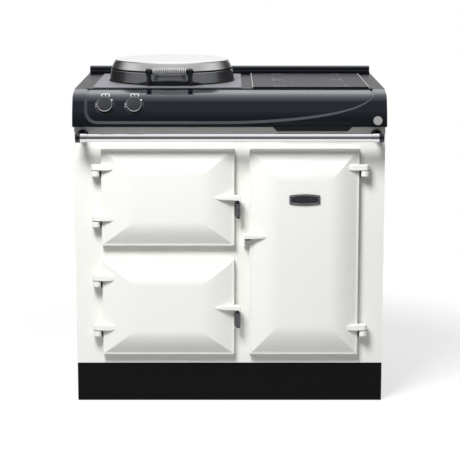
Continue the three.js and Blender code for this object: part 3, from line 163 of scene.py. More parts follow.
@dataclass(frozen=True)
class Finish:
    """One real material with its surface."""

    name: str
    colour: str
    pattern: Pattern
    grain: float  # size of the pattern, in millimetres
    relief: float  # depth of the pattern, in millimetres
    roughness: float
    metallic: float = 0.0
    ior: float = 1.5
    specular: float = 0.5
    tone: float = 0.03  # how far the colour wanders with the pattern
    sheen: float = 0.0
    gleam: str = "#ffffff"  # colour of the reflections
    stretch: Triple = (1.0, 1.0, 1.0)
    centre: Triple = (0.0, 0.0, 0.0)

    def _texture(self, tree: bpy.types.NodeTree) -> bpy.types.NodeSocket:
        """Add the pattern's texture.

        Args:
            tree: node tree of the material.

        Returns:
            The socket that gives the pattern, from 0 to 1.
        """
        place = add_node(tree, "TexCoord").outputs["Object"]
        shift = [-part for part in self.centre]
        spread = {"Vector": place, "Location": shift, "Scale": self.stretch}
        vector = add_node(tree, "Mapping", spread).outputs["Vector"]
        scale = 1 / (self.grain * MM)
        if self.pattern is Pattern.SPANGLE:
            cells = add_node(tree, "TexVoronoi", {"Vector": vector, "Scale": scale})
            return add_node(tree, "RGBToBW", {"Color": cells.outputs["Color"]}).outputs["Val"]
        if self.pattern is Pattern.WOUND:
            rings = {"Vector": vector, "Scale": scale / math.tau, "Distortion": 0.0}
            waves = {"wave_type": "RINGS", "rings_direction": "Z"}
            return add_node(tree, "TexWave", rings, **waves).outputs["Fac"]
        if self.pattern is Pattern.BRAIDED:
            yarn = {"Vector": vector, "Scale": scale / math.tau, "Distortion": 2.0}
            waves = {"wave_type": "BANDS", "bands_direction": "DIAGONAL"}
            return add_node(tree, "TexWave", yarn, **waves).outputs["Fac"]
        detail, roughness, distortion = {
            Pattern.FIRED: (1.0, 0.4, 0.0),
            Pattern.BRUSHED: (3.0, 0.6, 0.0),
            Pattern.CAST: (4.0, 0.6, 0.0),
            Pattern.FIBRE: (6.0, 0.7, 1.5),
            Pattern.MOULDED: (2.0, 0.5, 0.0),
        }[self.pattern]
        noise = {"Vector": vector, "Scale": scale, "Detail": detail}
        noise |= {"Roughness": roughness, "Distortion": distortion}
        return add_node(tree, "TexNoise", noise).outputs["Fac"]

    def material(self) -> bpy.types.Material:
        """Make the material once and give it back on each later call."""
        if self.name in bpy.data.materials:
            return bpy.data.materials[self.name]
        made = bpy.data.materials.new(self.name)
        made.use_nodes = True
        tree = made.node_tree
        tree.nodes.clear()
        pattern = self._texture(tree)
        red, green, blue, _ = linear(self.colour)
        dark, pale = (
            (red * share, green * share, blue * share, 1.0)
            for share in (1 - self.tone, 1 + self.tone)
        )
        tones = {"Factor": pattern, 6: dark, 7: pale}
        colour = add_node(tree, "Mix", tones, data_type="RGBA").outputs[2]
        duller = min(1.0, self.roughness * ROUGHNESS_SHARES[1])
        wander = self.roughness * ROUGHNESS_SHARES[0], duller
        roughness = ramp(tree, pattern, PATTERN_CORE, wander)
        height = {"Height": pattern, "Distance": self.relief * MM, "Strength": 1.0}
        normal = add_node(tree, "Bump", height).outputs["Normal"]
        surface = {
            "Base Color": colour,
            "Roughness": roughness,
            "Normal": normal,
            "Metallic": self.metallic,
            "IOR": self.ior,
            "Specular IOR Level": self.specular,
            "Specular Tint": linear(self.gleam),
            "Sheen Weight": self.sheen,
        }
        shader = add_node(tree, "BsdfPrincipled", surface)
        add_node(tree, "OutputMaterial", {"Surface": shader.outputs["BSDF"]})
        return made


# Vitreous enamel: glossy glass over iron, pale and even, with a faint orange peel.
WHITE_ENAMEL = Finish("white enamel", "#f1f2ed", Pattern.FIRED, 6, 0.006, 0.22, tone=0.012)
# The same glass in black: the pigment swallows light, so only the reflections show.
BLACK_ENAMEL = Finish(
    "black enamel", "#080a0f", Pattern.FIRED, 6, 0.005, 0.2, specular=0.75, tone=0.1,
    gleam="#e1e9fa"
)
# Blue-black gloss of the control panel, smoother than the castings round it.
PANEL_GLOSS = Finish(
    "panel gloss", "#060910", Pattern.FIRED, 8, 0.002, 0.14, specular=0.85, tone=0.1,
    gleam="#e1e9fa"
)
# The same black on the top plate, worn duller by pans and cloths.
TOP_ENAMEL = Finish(
    "top enamel", "#0c0d11", Pattern.FIRED, 5, 0.006, 0.42, specular=0.17, tone=0.1,
    gleam="#e1e9fa"
)
# The rib's slope, painted a slate grey that stands in for the light its upward-facing slope catches: a
# painted highlight on black enamel.
RIB_HIGHLIGHT_ENAMEL = Finish("slate enamel", "#33363c", Pattern.FIRED, 6, 0.004, 0.24, tone=0.1)
# Satin black enamel of the plinth: too dull to show a sharp reflection.
SATIN_ENAMEL = Finish(
    "satin black enamel", "#08090a", Pattern.FIRED, 3, 0.01, 0.55, specular=0.12, tone=0.1
)
# Bright nickel-chromium plate on steel: mirror-like and faintly blue.
CHROME = Finish("chrome plate", "#dcdde0", Pattern.BRUSHED, 2, 0.0004, 0.09, metallic=1.0, tone=0.01)
# Spun chromed steel of the lid: faint turning lines soften its mirror.
SPUN_CHROME = Finish(
    "spun chrome", "#e2e2e2", Pattern.BRUSHED, 1.2, 0.0006, 0.3, metallic=1.0, tone=0.02,
    stretch=(0.15, 0.15, 1.0),
)
# Steel sheet brushed along the cooker's width, drawn coarser than its real grit.
BRUSHED_STEEL = Finish(
    "brushed steel", "#84858c", Pattern.BRUSHED, 1.5, 0.002, 0.58, metallic=0.35, tone=0.06,
    stretch=(0.03, 1.0, 1.0),
)
# Satin nickel of the bare plates and the hob's trims: soft, pale and slightly warm.
SATIN_NICKEL = Finish(
    "satin nickel", "#b9b9b8", Pattern.BRUSHED, 0.8, 0.001, 0.42, metallic=0.6, tone=0.04
)
# Chrome plate polished past the spinning lines, on the lid's skirt.
POLISHED_CHROME = Finish(
    "polished chrome", "#e2e5ea", Pattern.BRUSHED, 2, 0.0004, 0.23, metallic=1.0, tone=0.01
)
# Nickelled wire of the lid's grip, bright between its black gaps.
NICKEL_WIRE = Finish(
    "nickelled wire", "#e4e5e8", Pattern.BRUSHED, 0.8, 0.001, 0.25, metallic=0.55, tone=0.03
)
# Drawn spring wire of the coil handles: bright wire, its colour darkened to a mid grey as painted shade and
# painted dark reflection.
DARKENED_SPRING_WIRE = Finish(
    "drawn spring wire", "#7d7f84", Pattern.BRUSHED, 0.8, 0.001, 0.3, metallic=0.8, tone=0.05
)
# Pressure-cast aluminium, left as cast: pale grey with a soft sheen.
CAST_ALUMINIUM = Finish(
    "cast aluminium", "#a3a5a8", Pattern.CAST, 1.6, 0.02, 0.45, metallic=1.0, tone=0.06
)
# Grey iron from a sand mould: dark, matt and grainy.
CAST_IRON = Finish("cast iron", "#3a3a3c", Pattern.CAST, 2.2, 0.06, 0.62, metallic=0.6, tone=0.15)
# The hotplate's machined top: grey iron with fine turning rings.
MACHINED_IRON = Finish(
    "machined iron", "#5a5b5e", Pattern.WOUND, 1.2, 0.01, 0.38, metallic=0.9, tone=0.08
)
# Hot-dip galvanised sheet: large dull crystals.
ZINC_STEEL = Finish("zinc-coated steel", "#9b9fa3", Pattern.SPANGLE, 14, 0.004, 0.4, metallic=0.9, tone=0.1)
# Steel rod and sheet with a black oxide skin.
BLACK_STEEL = Finish("black oxide steel", "#26282b", Pattern.CAST, 1.2, 0.01, 0.35, metallic=0.6, tone=0.12)
# Glass-ceramic: dark, with a soft, weak reflection.
GLASS_CERAMIC = Finish(
    "glass ceramic", "#1a1c21", Pattern.FIRED, 9, 0.001, 0.36, ior=1.52, specular=0.04, tone=0.05
)
# Enamelled copper litz wire wound in a flat spiral.
COPPER = Finish("wound copper", "#b0714a", Pattern.WOUND, 3, 0.4, 0.35, metallic=0.9, tone=0.3)
# Glass-filled nylon with a spark-eroded grain; on the hinge washers its black also stands in for the shadow
# in the hinge's play.
BLACK_PLASTIC = Finish("moulded black nylon", "#1d1f22", Pattern.MOULDED, 0.8, 0.01, 0.4, tone=0.08)
# Slate-black phenolic of the knobs, their bezels and the name plate.
PHENOLIC = Finish("black phenolic", "#2a2c31", Pattern.MOULDED, 1.2, 0.002, 0.28, tone=0.05)
# Mineral wool: matted, matt and uneven.
MINERAL_WOOL = Finish("mineral wool", "#c9bf9c", Pattern.FIBRE, 4, 0.6, 0.95, tone=0.2, sheen=0.3)
# Braided glass-fibre rope that seals a door.
ROPE = Finish("glass fibre rope", "#5f5c55", Pattern.BRAIDED, 2.2, 0.4, 0.9, tone=0.35)
# Thin pale ink of the knobs' pointers and the bezels' ticks.
PRINT = Finish("white ink", "#e9eaec", Pattern.MOULDED, 0.4, 0.001, 0.5, tone=0.02)
# Fired grey marking on the glass.
GLASS_PRINT = Finish("grey ceramic ink", "#8d9094", Pattern.MOULDED, 0.4, 0.001, 0.4, tone=0.04)
# Dim grey marking on the control panel.
PANEL_PRINT = Finish("slate ink", "#b4b8bf", Pattern.MOULDED, 0.4, 0.001, 0.45, tone=0.04)
# Dull black silicone of the lid's groove band and the handles' cores and stems; the same black is painted
# shadow on the coil handles' side rods, the hinge wedges, the catch's pad and the lid's rim band.
SILICONE_AND_SHADOW = Finish("black silicone", "#0b0b0c", Pattern.MOULDED, 0.6, 0.004, 0.6, tone=0.1)


def ringed(finish: Finish, node: str) -> Finish:
    """Give a finish rings that run round the middle of a CAD node."""
    low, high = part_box(node)
    return replace(finish, name=f"{finish.name} {node}", centre=tuple((low + high) / 2))


# ---- modelling


FLAT_ANGLE = 0.5  # degrees below which neighbouring triangles make one face
COIL_STEPS = 18  # round each turn of a coil


def leave_edit() -> None:
    """Go back to object mode."""
    bpy.ops.object.mode_set(mode="OBJECT")


def deselect() -> None:
    """Leave edit mode with nothing selected."""
    if bpy.context.mode != "OBJECT":
        leave_edit()
    bpy.ops.object.select_all(action="DESELECT")


def added(name: str) -> Object:
    """Name the object that was just added, and give it back."""
    piece = bpy.context.active_object
    piece.name = name
    return piece


def activate(*pieces: Object) -> None:
    """Select these pieces alone and make the first active."""
    deselect()
    for piece in pieces:
        piece.select_set(True)
    bpy.context.view_layer.objects.active = pieces[0]


def edit_all(piece: Object) -> None:
    """Enter edit mode with the whole piece selected."""
    activate(piece)
    bpy.ops.object.mode_set(mode="EDIT")
    bpy.ops.mesh.select_all(action="SELECT")


def settle(piece: Object) -> Object:
    """Put a piece's place, turn and scale into its mesh."""
    activate(piece)
    bpy.ops.object.transform_apply(location=True, rotation=True, scale=True)
    return piece


def modify(piece: Object, kind: str, **settings: object) -> Object:
    """Add a modifier and apply it.

    Args:
        piece: the piece to work on.
        kind: type of the modifier.
        settings: its properties.

    Returns:
        The same piece.
    """
    activate(piece)
    modifier = piece.modifiers.new(kind.title(), kind)
    for key, value in settings.items():
        setattr(modifier, key, value)
    bpy.ops.object.modifier_apply(modifier=modifier.name)
    return piece


def pick(piece: Object, kind: str, test: Callable[..., bool]) -> None:
    """Enter edit mode with the parts that pass a test selected.

    Args:
        piece: the piece to work on.
        kind: VERT, EDGE or FACE.
        test: takes a corner's place, an edge's two corners, or a face.
    """
    activate(piece)
    bpy.ops.object.mode_set(mode="EDIT")
    bpy.ops.mesh.select_mode(type=kind)
    bpy.ops.mesh.select_all(action="DESELECT")
    leave_edit()
    mesh = piece.data
    if kind == "FACE":
        for face in mesh.polygons:
            face.select = test(face)
    elif kind == "EDGE":
        for edge in mesh.edges:
            edge.select = test(*(mesh.vertices[at].co for at in edge.vertices))
    else:
        for corner in mesh.vertices:
            corner.select = test(corner.co)
    bpy.ops.object.mode_set(mode="EDIT")


def extrude(by: Vector) -> None:
    """Extrude what is selected in edit mode."""
    bpy.ops.mesh.extrude_region_move(TRANSFORM_OT_translate={"value": tuple(by)})


def close_up(piece: Object) -> Object:
    """Merge doubled corners and turn every face outwards."""
    edit_all(piece)
    bpy.ops.mesh.remove_doubles(threshold=TINY)
    bpy.ops.mesh.delete_loose()
    bpy.ops.mesh.select_all(action="SELECT")
    bpy.ops.mesh.normals_make_consistent(inside=False)
    leave_edit()
    return piece


def round_over(piece: Object, width: float, segments: int = 2, angle: float = 30.0) -> Object:
    """Round every edge that is sharper than an angle."""
    limit = {"limit_method": "ANGLE", "angle_limit": math.radians(angle)}
    return modify(
        piece, "BEVEL", width=width, segments=segments, use_clamp_overlap=True, **limit
    )


def smooth(piece: Object, angle: float = 35.0) -> Object:
    """Shade smooth below an angle, with the flat faces kept flat."""
    activate(piece)
    bpy.ops.object.shade_smooth_by_angle(angle=math.radians(angle))
    return modify(piece, "WEIGHTED_NORMAL", keep_sharp=True)


def block(name: str, low: Sequence[float], high: Sequence[float], rounding: float) -> Object:
    """Make a bar or plate between two corners, with rounded edges."""
    deselect()
    middle = (Vector(low) + Vector(high)) / 2
    bpy.ops.mesh.primitive_cube_add(size=1, location=middle)
    piece = added(name)
    piece.scale = Vector(high) - Vector(low)
    settle(piece)
    return round_over(piece, rounding)


def slip(
    name: str, centre: Vector, axes: Sequence[Vector], size: Sequence[float], rounding: float
) -> Object:
    """Make a small turned bar, with rounded edges.

    Args:
        name: name of the piece.
        centre: its middle.
        axes: its three directions.
        size: its length along each of them.
        rounding: width of the rounded edges.

    Returns:
        The piece.
    """
    deselect()
    bpy.ops.mesh.primitive_cube_add(size=1)
    piece = added(name)
    turn = Matrix(axes).transposed().to_4x4()
    piece.matrix_world = Matrix.Translation(centre) @ turn @ Matrix.Diagonal((*size, 1))
    settle(piece)
    return round_over(piece, rounding)


def prism(
    name: str, outline: Sequence[Row], axis: str, span: Row, rounding: float = 0.0
) -> Object:
    """Extrude a flat outline.

    Args:
        name: name of the piece.
        outline: its corners, in YZ for axis X, XZ for Y and XY for Z.
        axis: X, Y or Z, the direction it is extruded along.
        span: where it starts and ends on that axis.
        rounding: width of the rounded edges.

    Returns:
        The piece.
    """
    deselect()
    bpy.ops.mesh.primitive_circle_add(vertices=len(outline), fill_type="NGON")
    piece = added(name)
    start, end = span
    for corner, (a, b) in zip(piece.data.vertices, outline):
        corner.co = {"X": (start, a, b), "Y": (a, start, b), "Z": (a, b, start)}[axis]
    pick(piece, "FACE", lambda face: True)
    length = end - start
    extrude(Vector({"X": (length, 0, 0), "Y": (0, length, 0), "Z": (0, 0, length)}[axis]))
    close_up(piece)
    return round_over(piece, rounding) if rounding else piece


def turned(
    name: str,
    profile: Sequence[Row],
    foot: Sequence[float],
    axis: Sequence[float] = (0, 0, 1),
    sides: int = 64,
) -> Object:
    """Turn a profile of radius and height about an axis, as on a lathe.

    Args:
        name: name of the piece.
        profile: its points; a profile that starts and ends on the axis makes a solid,
            any other one is a closed loop and makes a ring.
        foot: the point on the axis at height zero.
        axis: direction of the axis.
        sides: steps round it.

    Returns:
        The piece.
    """
    deselect()
    bpy.ops.mesh.primitive_circle_add(vertices=len(profile), fill_type="NOTHING")
    piece = added(name)
    for corner, (radius, height) in zip(piece.data.vertices, profile):
        corner.co = (radius, 0, height)
    if profile[0][0] < TINY and profile[-1][0] < TINY:
        pick(piece, "EDGE", lambda a, b: a.x < TINY and b.x < TINY)
        bpy.ops.mesh.delete(type="EDGE")
    merging = {"use_merge_vertices": True, "merge_threshold": TINY}
    modify(piece, "SCREW", steps=sides, render_steps=sides, **merging)
    piece.location = foot
    piece.rotation_euler = Vector(axis).to_track_quat("Z", "Y").to_euler()
    settle(piece)
    return close_up(piece)


def arc(centre: Row, radius: float, start: float, end: float, steps: int = 6) -> list[Row]:
    """Points along an arc.

    Args:
        centre: middle of the arc.
        radius: its radius.
        start: first angle, in degrees.
        end: last angle.
        steps: stretches between the points.

    Returns:
        The points, both ends included.
    """
    angles = [math.radians(start + (end - start) * step / steps) for step in range(steps + 1)]
    return [(centre[0] + radius * math.cos(a), centre[1] + radius * math.sin(a)) for a in angles]


def bend(start: Vector, corner: Vector, end: Vector, steps: int) -> list[Vector]:
    """Points along a curve that leaves and arrives towards its corner."""
    shares = [step / steps for step in range(steps + 1)]
    return [start * (1 - at) ** 2 + corner * 2 * at * (1 - at) + end * at**2 for at in shares]


def rounded_rod(radius: float, length: float, rounding: float) -> list[Row]:
    """Profile of a rod from height zero, with rounded ends."""
    inner = radius - rounding
    return [
        (0, 0),
        *arc((inner, rounding), rounding, -90, 0, 3),
        *arc((inner, length - rounding), rounding, 0, 90, 3),
        (0, length),
    ]


def rounded_box(low: Row, high: Row, radius: float, steps: int = 6) -> list[Row]:
    """Outline of a rectangle with round corners."""
    (x0, z0), (x1, z1) = low, high
    return [
        *arc((x1 - radius, z0 + radius), radius, -90, 0, steps),
        *arc((x1 - radius, z1 - radius), radius, 0, 90, steps),
        *arc((x0 + radius, z1 - radius), radius, 90, 180, steps),
        *arc((x0 + radius, z0 + radius), radius, 180, 270, steps),
    ]


def coil(
    name: str,
    foot: Vector,
    axis: Sequence[float],
    radius: float,
    wire: float,
    length: float,
    turns: int,
    waist: float = 0.0,
) -> Object:
    """Wind a wire into a close coil.

    Args:
        name: name of the piece.
        foot: centre of its first turn.
        axis: direction of its axis.
        radius: from the axis to the outside of the wire.
        wire: radius of the wire.
        length: from end to end.
        turns: number of turns.
        waist: how much smaller the radius is at the ends.

    Returns:
        The piece.
    """
    deselect()
    middle = radius - wire
    bpy.ops.mesh.primitive_circle_add(
        vertices=10, radius=wire, location=(middle, 0, wire), rotation=(math.pi / 2, 0, 0)
    )
    piece = added(name)
    settle(piece)
    pitch = (length - 2 * wire) / turns
    winding = {"iterations": turns, "screw_offset": pitch, "use_normal_calculate": True}
    modify(piece, "SCREW", steps=COIL_STEPS, render_steps=COIL_STEPS, **winding)
    edit_all(piece)
    bpy.ops.mesh.fill_holes(sides=12)
    leave_edit()
    for corner in piece.data.vertices:
        out = corner.co.xy.length
        drop = waist * (2 * corner.co.z / length - 1) ** 2
        corner.co.xy *= (out - drop) / out
    piece.location = foot
    piece.rotation_euler = Vector(axis).to_track_quat("Z", "Y").to_euler()
    settle(piece)
    return close_up(piece)


def sweep(
    name: str,
    route: Sequence[Sequence[float]],
    radius: float,
    closed: bool = False,
    taper: Callable[[float], float] = lambda share: 1.0,
) -> Object:
    """Bend a round rod along a route.

    Args:
        name: name of the piece.
        route: points along its middle.
        radius: radius of the rod.
        closed: whether the route joins its own start.
        taper: share of the radius at a share of the route.

    Returns:
        The piece, as a closed mesh.
    """
    deselect()
    bpy.ops.curve.primitive_nurbs_path_add()
    piece = added(name)
    line = piece.data
    line.splines.clear()
    spline = line.splines.new("POLY")
    spline.points.add(len(route) - 1)
    for index, (point, place) in enumerate(zip(spline.points, route)):
        point.co = (*place, 1.0)
        point.radius = taper(index / (len(route) - 1))
    spline.use_cyclic_u = closed
    line.dimensions = "3D"
    line.bevel_depth = radius
    line.bevel_resolution = 3
    line.use_fill_caps = True
    piece.location = (0, 0, 0)
    activate(piece)
    bpy.ops.object.convert(target="MESH")
    return close_up(bpy.context.active_object)


def combine(piece: Object, other: Object, how: str = "DIFFERENCE") -> Object:
    """Cut, unite or intersect a piece with another, which is used up.

    Args:
        piece: the piece that stays.
        other: the piece that is used up.
        how: DIFFERENCE, UNION or INTERSECT.

    Returns:
        The piece that stays.
    """
    modify(piece, "BOOLEAN", operation=how, object=other, solver="EXACT")
    bpy.data.objects.remove(other)
    return piece


def join(pieces: Sequence[Object], name: str) -> Object:
    """Join pieces to one object."""
    activate(*pieces)
    bpy.ops.object.join()
    return added(name)


def twin(piece: Object, name: str, shift: Sequence[float]) -> Object:
    """Copy a finished piece with its own mesh, a distance away."""
    copy = piece.copy()
    copy.data = piece.data.copy()
    copy.name = name
    bpy.context.scene.collection.objects.link(copy)
    copy.location = shift
    return settle(copy)


def dress(piece: Object, finish: Finish, body: str, *nodes: str) -> Object:
    """Paint a piece, let it ride on its body and let it stand for CAD nodes.

    Args:
        piece: the finished piece.
        finish: its material.
        body: the CAD body it moves with.
        nodes: the CAD nodes it replaces.

    Returns:
        The piece.
    """
    piece.data.materials.clear()
    piece.data.materials.append(finish.material())
    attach(piece, body)
    if nodes:
        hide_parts(*nodes)
    LOG.info("%s: %s, on %s", piece.name, finish.name, body)
    return piece


def refit(
    node: str, finish: Finish, body: str, rounding: float, segments: int = 2, angle: float = 30.0
) -> Object:
    """Copy a CAD node's mesh, merge its triangles, round its edges and paint it.

    Args:
        node: the CAD node, which the new piece stands for.
        finish: its material.
        body: the CAD body it moves with.
        rounding: width of the rounded edges.
        segments: steps across each rounded edge.
        angle: edges sharper than this are rounded.

    Returns:
        The new piece.
    """
    piece = bpy.data.objects.new(node + "_finished", NODES[node].data.copy())
    bpy.context.scene.collection.objects.link(piece)
    edit_all(piece)
    bpy.ops.mesh.remove_doubles(threshold=TINY)
    bpy.ops.mesh.dissolve_limited(angle_limit=math.radians(FLAT_ANGLE))
    leave_edit()
    return dress(smooth(round_over(piece, rounding, segments, angle)), finish, body, node)


# ---- studio


@dataclass
class Studio:
    """Plain pale room with soft light from the upper front left."""

    camera_place: Triple = (0.001, -5.104, 1.377)
    camera_tilt: float = 10.16  # degrees below the horizon
    sensor_width: float = 36.0  # in millimetres, as the focal length
    focal_length: float = 133.04
    room_dim: float = 0.13  # the room in front, against the white backdrop
    ceiling_light: float = 1.2  # straight overhead
    ceiling_start: float = 0.15  # upward share of a direction where the ceiling begins
    ceiling_power: float = 2.3  # how late the ceiling turns bright
    backdrop_fade: float = 0.2  # backward share over which the backdrop appears
    backdrop_half: float = 0.28  # half its width, between two black flags
    backdrop_foot: Row = (-0.15, 0.02)  # upward share over which it appears
    upper_backdrop: float = 1.5  # how bright it is where it turns to the ceiling
    upper_rise: Row = (0.24, 0.45)  # upward share over which it grows to that
    flag_fade: float = 0.12  # width of the soft edge between backdrop and flag
    flag_depth: float = 0.85  # how black metal sees the two flags
    screen_side: Row = (0.6, 0.85)  # sideways share over which a side screen appears
    screen_rise: Row = (0.3, 0.5)  # upward share over which it does
    soft_share: float = 0.46  # of the room's light on matt surfaces
    lamp_aim: Triple = (0, -0.1, 0.5)
    key_place: Triple = (-0.85, -2.2, 3.15)
    key_power: float = 153.0
    key_size: float = 1.2
    fill_place: Triple = (0.9, -3.6, 1.2)
    fill_power: float = 4.0
    fill_size: float = 2.4
    floor_radius: float = 2.0
    floor_glow: float = 1.04
    floor_colour: str = "#f4f4f4"
    bounce_colour: str = "#a2a2a2"  # what the floor throws back on the cooker
    shadow_share: float = 0.34  # how much of the shadow is kept by the cooker
    shadow_reach: float = 1.6  # metres from the cooker to where the floor is plain white

    def camera(self) -> None:
        """Set the camera up at the viewing angle."""
        deselect()
        tilt = math.radians(90 - self.camera_tilt)
        bpy.ops.object.camera_add(location=self.camera_place, rotation=(tilt, 0, 0))
        camera = bpy.context.active_object
        camera.data.sensor_width = self.sensor_width
        camera.data.lens = self.focal_length
        bpy.context.scene.camera = camera

    def world(self) -> None:
        """White backdrop and bright ceiling, with a dim room in front that metal reflects."""
        world = bpy.data.worlds.new("studio")
        bpy.context.scene.world = world
        world.use_nodes = True
        tree = world.node_tree
        tree.nodes.clear()
        towards = add_node(tree, "TexCoord").outputs["Generated"]
        parts = add_node(tree, "SeparateXYZ", {"Vector": towards}).outputs
        rays = add_node(tree, "LightPath").outputs
        up, aside = parts["Z"], work_out(tree, "ABSOLUTE", parts["X"])
        climb = ramp(tree, up, (self.ceiling_start, 1.0))
        ceiling = work_out(tree, "POWER", climb, self.ceiling_power)
        overhead = ramp(tree, ceiling, (0.0, 1.0), (self.room_dim, self.ceiling_light))
        rear = ramp(tree, parts["Y"], (0.0, self.backdrop_fade), soft=True)
        flag_edge = self.backdrop_half, self.backdrop_half + self.flag_fade
        flag = ramp(tree, aside, flag_edge, (0.0, self.flag_depth), soft=True)
        black = work_out(tree, "MULTIPLY", rear, flag)
        mirrored = work_out(tree, "MULTIPLY", black, rays["Is Glossy Ray"])
        kept = work_out(tree, "SUBTRACT", 1.0, mirrored)
        shaded = work_out(tree, "MULTIPLY", overhead, kept)
        between = ramp(tree, aside, flag_edge, (1.0, 0.0), soft=True)
        framed = work_out(tree, "MULTIPLY", rear, between)
        behind = work_out(tree, "MULTIPLY", framed, ramp(tree, up, self.backdrop_foot, soft=True))
        upper = ramp(tree, up, self.upper_rise, (1.0, self.upper_backdrop))
        wall = work_out(tree, "MULTIPLY", behind, upper)
        side = ramp(tree, aside, self.screen_side, soft=True)
        hanging = ramp(tree, up, self.screen_rise, soft=True)
        screen = work_out(tree, "MULTIPLY", side, hanging)
        lighter = work_out(tree, "MAXIMUM", shaded, screen)
        room = work_out(tree, "MAXIMUM", lighter, wall)
        share = ramp(tree, rays["Is Diffuse Ray"], (0.0, 1.0), (1.0, self.soft_share))
        lit = work_out(tree, "MULTIPLY", room, share)
        seen = work_out(tree, "MAXIMUM", rays["Is Camera Ray"], rays["Is Transmission Ray"])
        around = {"Factor": seen, 2: lit, 3: 1.0}
        strength = add_node(tree, "Mix", around, data_type="FLOAT").outputs[0]
        shown = add_node(tree, "Background", {"Color": linear("#ffffff"), "Strength": strength})
        add_node(tree, "OutputWorld", {"Surface": shown.outputs["Background"]})

    def floor(self) -> None:
        """Pale floor: white where it is seen, with the cooker's own shadow."""
        deselect()
        bpy.ops.mesh.primitive_circle_add(vertices=64, radius=self.floor_radius, fill_type="NGON")
        floor = added("studio_floor")
        material = bpy.data.materials.new("pale floor")
        material.use_nodes = True
        tree = material.node_tree
        tree.nodes.clear()
        rays = add_node(tree, "LightPath").outputs
        clear = work_out(tree, "MAXIMUM", rays["Is Camera Ray"], rays["Is Transmission Ray"])
        seen = work_out(tree, "MAXIMUM", clear, rays["Is Glossy Ray"])
        place = add_node(tree, "TexCoord").outputs["Object"]
        away = add_node(tree, "VectorMath", {0: place}, operation="LENGTH").outputs["Value"]
        near = self.shadow_reach / 2, self.shadow_reach
        share = ramp(tree, away, near, (self.shadow_share, 0.0), soft=True)
        white = {"Color": linear("#ffffff"), "Strength": self.floor_glow}
        glow = add_node(tree, "Emission", white).outputs["Emission"]
        matt = add_node(tree, "BsdfDiffuse", {"Color": linear(self.floor_colour)}).outputs["BSDF"]
        pale = add_node(tree, "MixShader", {0: share, 1: glow, 2: matt}).outputs["Shader"]
        dull = add_node(tree, "BsdfDiffuse", {"Color": linear(self.bounce_colour)}).outputs["BSDF"]
        both = add_node(tree, "MixShader", {0: seen, 1: dull, 2: pale}).outputs["Shader"]
        add_node(tree, "OutputMaterial", {"Surface": both})
        floor.data.materials.append(material)

    def lamp(self, name: str, place: Sequence[float], size: float, power: float) -> None:
        """Hang a soft square lamp, aimed at the cooker's middle, that metal doesn't mirror."""
        deselect()
        aim = Vector(self.lamp_aim) - Vector(place)
        turn = aim.to_track_quat("-Z", "Y").to_euler()
        bpy.ops.object.light_add(type="AREA", location=place, rotation=turn)
        lamp = added(name)
        lamp.data.shape = "SQUARE"
        lamp.data.size = size
        lamp.data.energy = power
        lamp.visible_glossy = False

    def build(self) -> None:
        """Set up the camera, the room and its lamps."""
        self.camera()
        self.world()
        self.floor()
        self.lamp("key_lamp", self.key_place, self.key_size, self.key_power)
        self.lamp("fill_lamp", self.fill_place, self.fill_size, self.fill_power)
        bpy.context.scene.view_settings.view_transform = "Standard"
        LOG.info("studio ready")


# ---- casing


@dataclass
class Casing:
    """Plinth, frame, panels and insulation."""

    body: str = "cooker_body"
    sheet_edge: float = 0.8 * MM
    plate_edge: float = 1.6 * MM
    frame_edge: float = 1.5 * MM
    jacket_edge: float = 3 * MM
    box_edge: float = 1.2 * MM
    screw_radius: float = 5 * MM
    screw_height: float = 1.8 * MM
    screw_inset: float = 18 * MM

    def sheets(self) -> None:
        """Refine the panels, the frame, the insulation and the mains box."""
        for node, finish, rounding in (
            ("plinth", SATIN_ENAMEL, self.plate_edge),
            ("front_plate", WHITE_ENAMEL, self.plate_edge),
            ("side_panel_left", WHITE_ENAMEL, self.sheet_edge),
            ("side_panel_right", WHITE_ENAMEL, self.sheet_edge),
            ("rear_panel", ZINC_STEEL, self.sheet_edge),
            ("base_frame", ZINC_STEEL, self.frame_edge),
            ("insulation_jacket", MINERAL_WOOL, self.jacket_edge),
            ("terminal_box", BLACK_PLASTIC, self.box_edge),
        ):
            refit(node, finish, self.body, rounding)

    def screws(self) -> None:
        """Put nine pan-head screws on the rear panel, in three rows."""
        low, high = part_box("rear_panel")
        dome = [(0, -SEAT), (self.screw_radius, -SEAT)]
        dome += arc((0, 0), self.screw_radius, 0, 90, 5)
        rows = [(r, min(h, self.screw_height)) for r, h in dome]
        places = [
            Vector((x, high.y - self.screw_height, z))
            for x in (low.x + self.screw_inset, 0.0, high.x - self.screw_inset)
            for z in (low.z + self.screw_inset, (low.z + high.z) / 2, high.z - self.screw_inset)
        ]
        first = smooth(turned("rear_screw_1", rows, places[0], (0, 1, 0), 20))
        screws = [first] + [
            twin(first, f"rear_screw_{index}", place - places[0])
            for index, place in enumerate(places[1:], 2)
        ]
        for screw in screws:
            dress(screw, ZINC_STEEL, self.body)

    def build(self) -> None:
        """Build the casing."""
        self.sheets()
        self.screws()


# ---- fascia


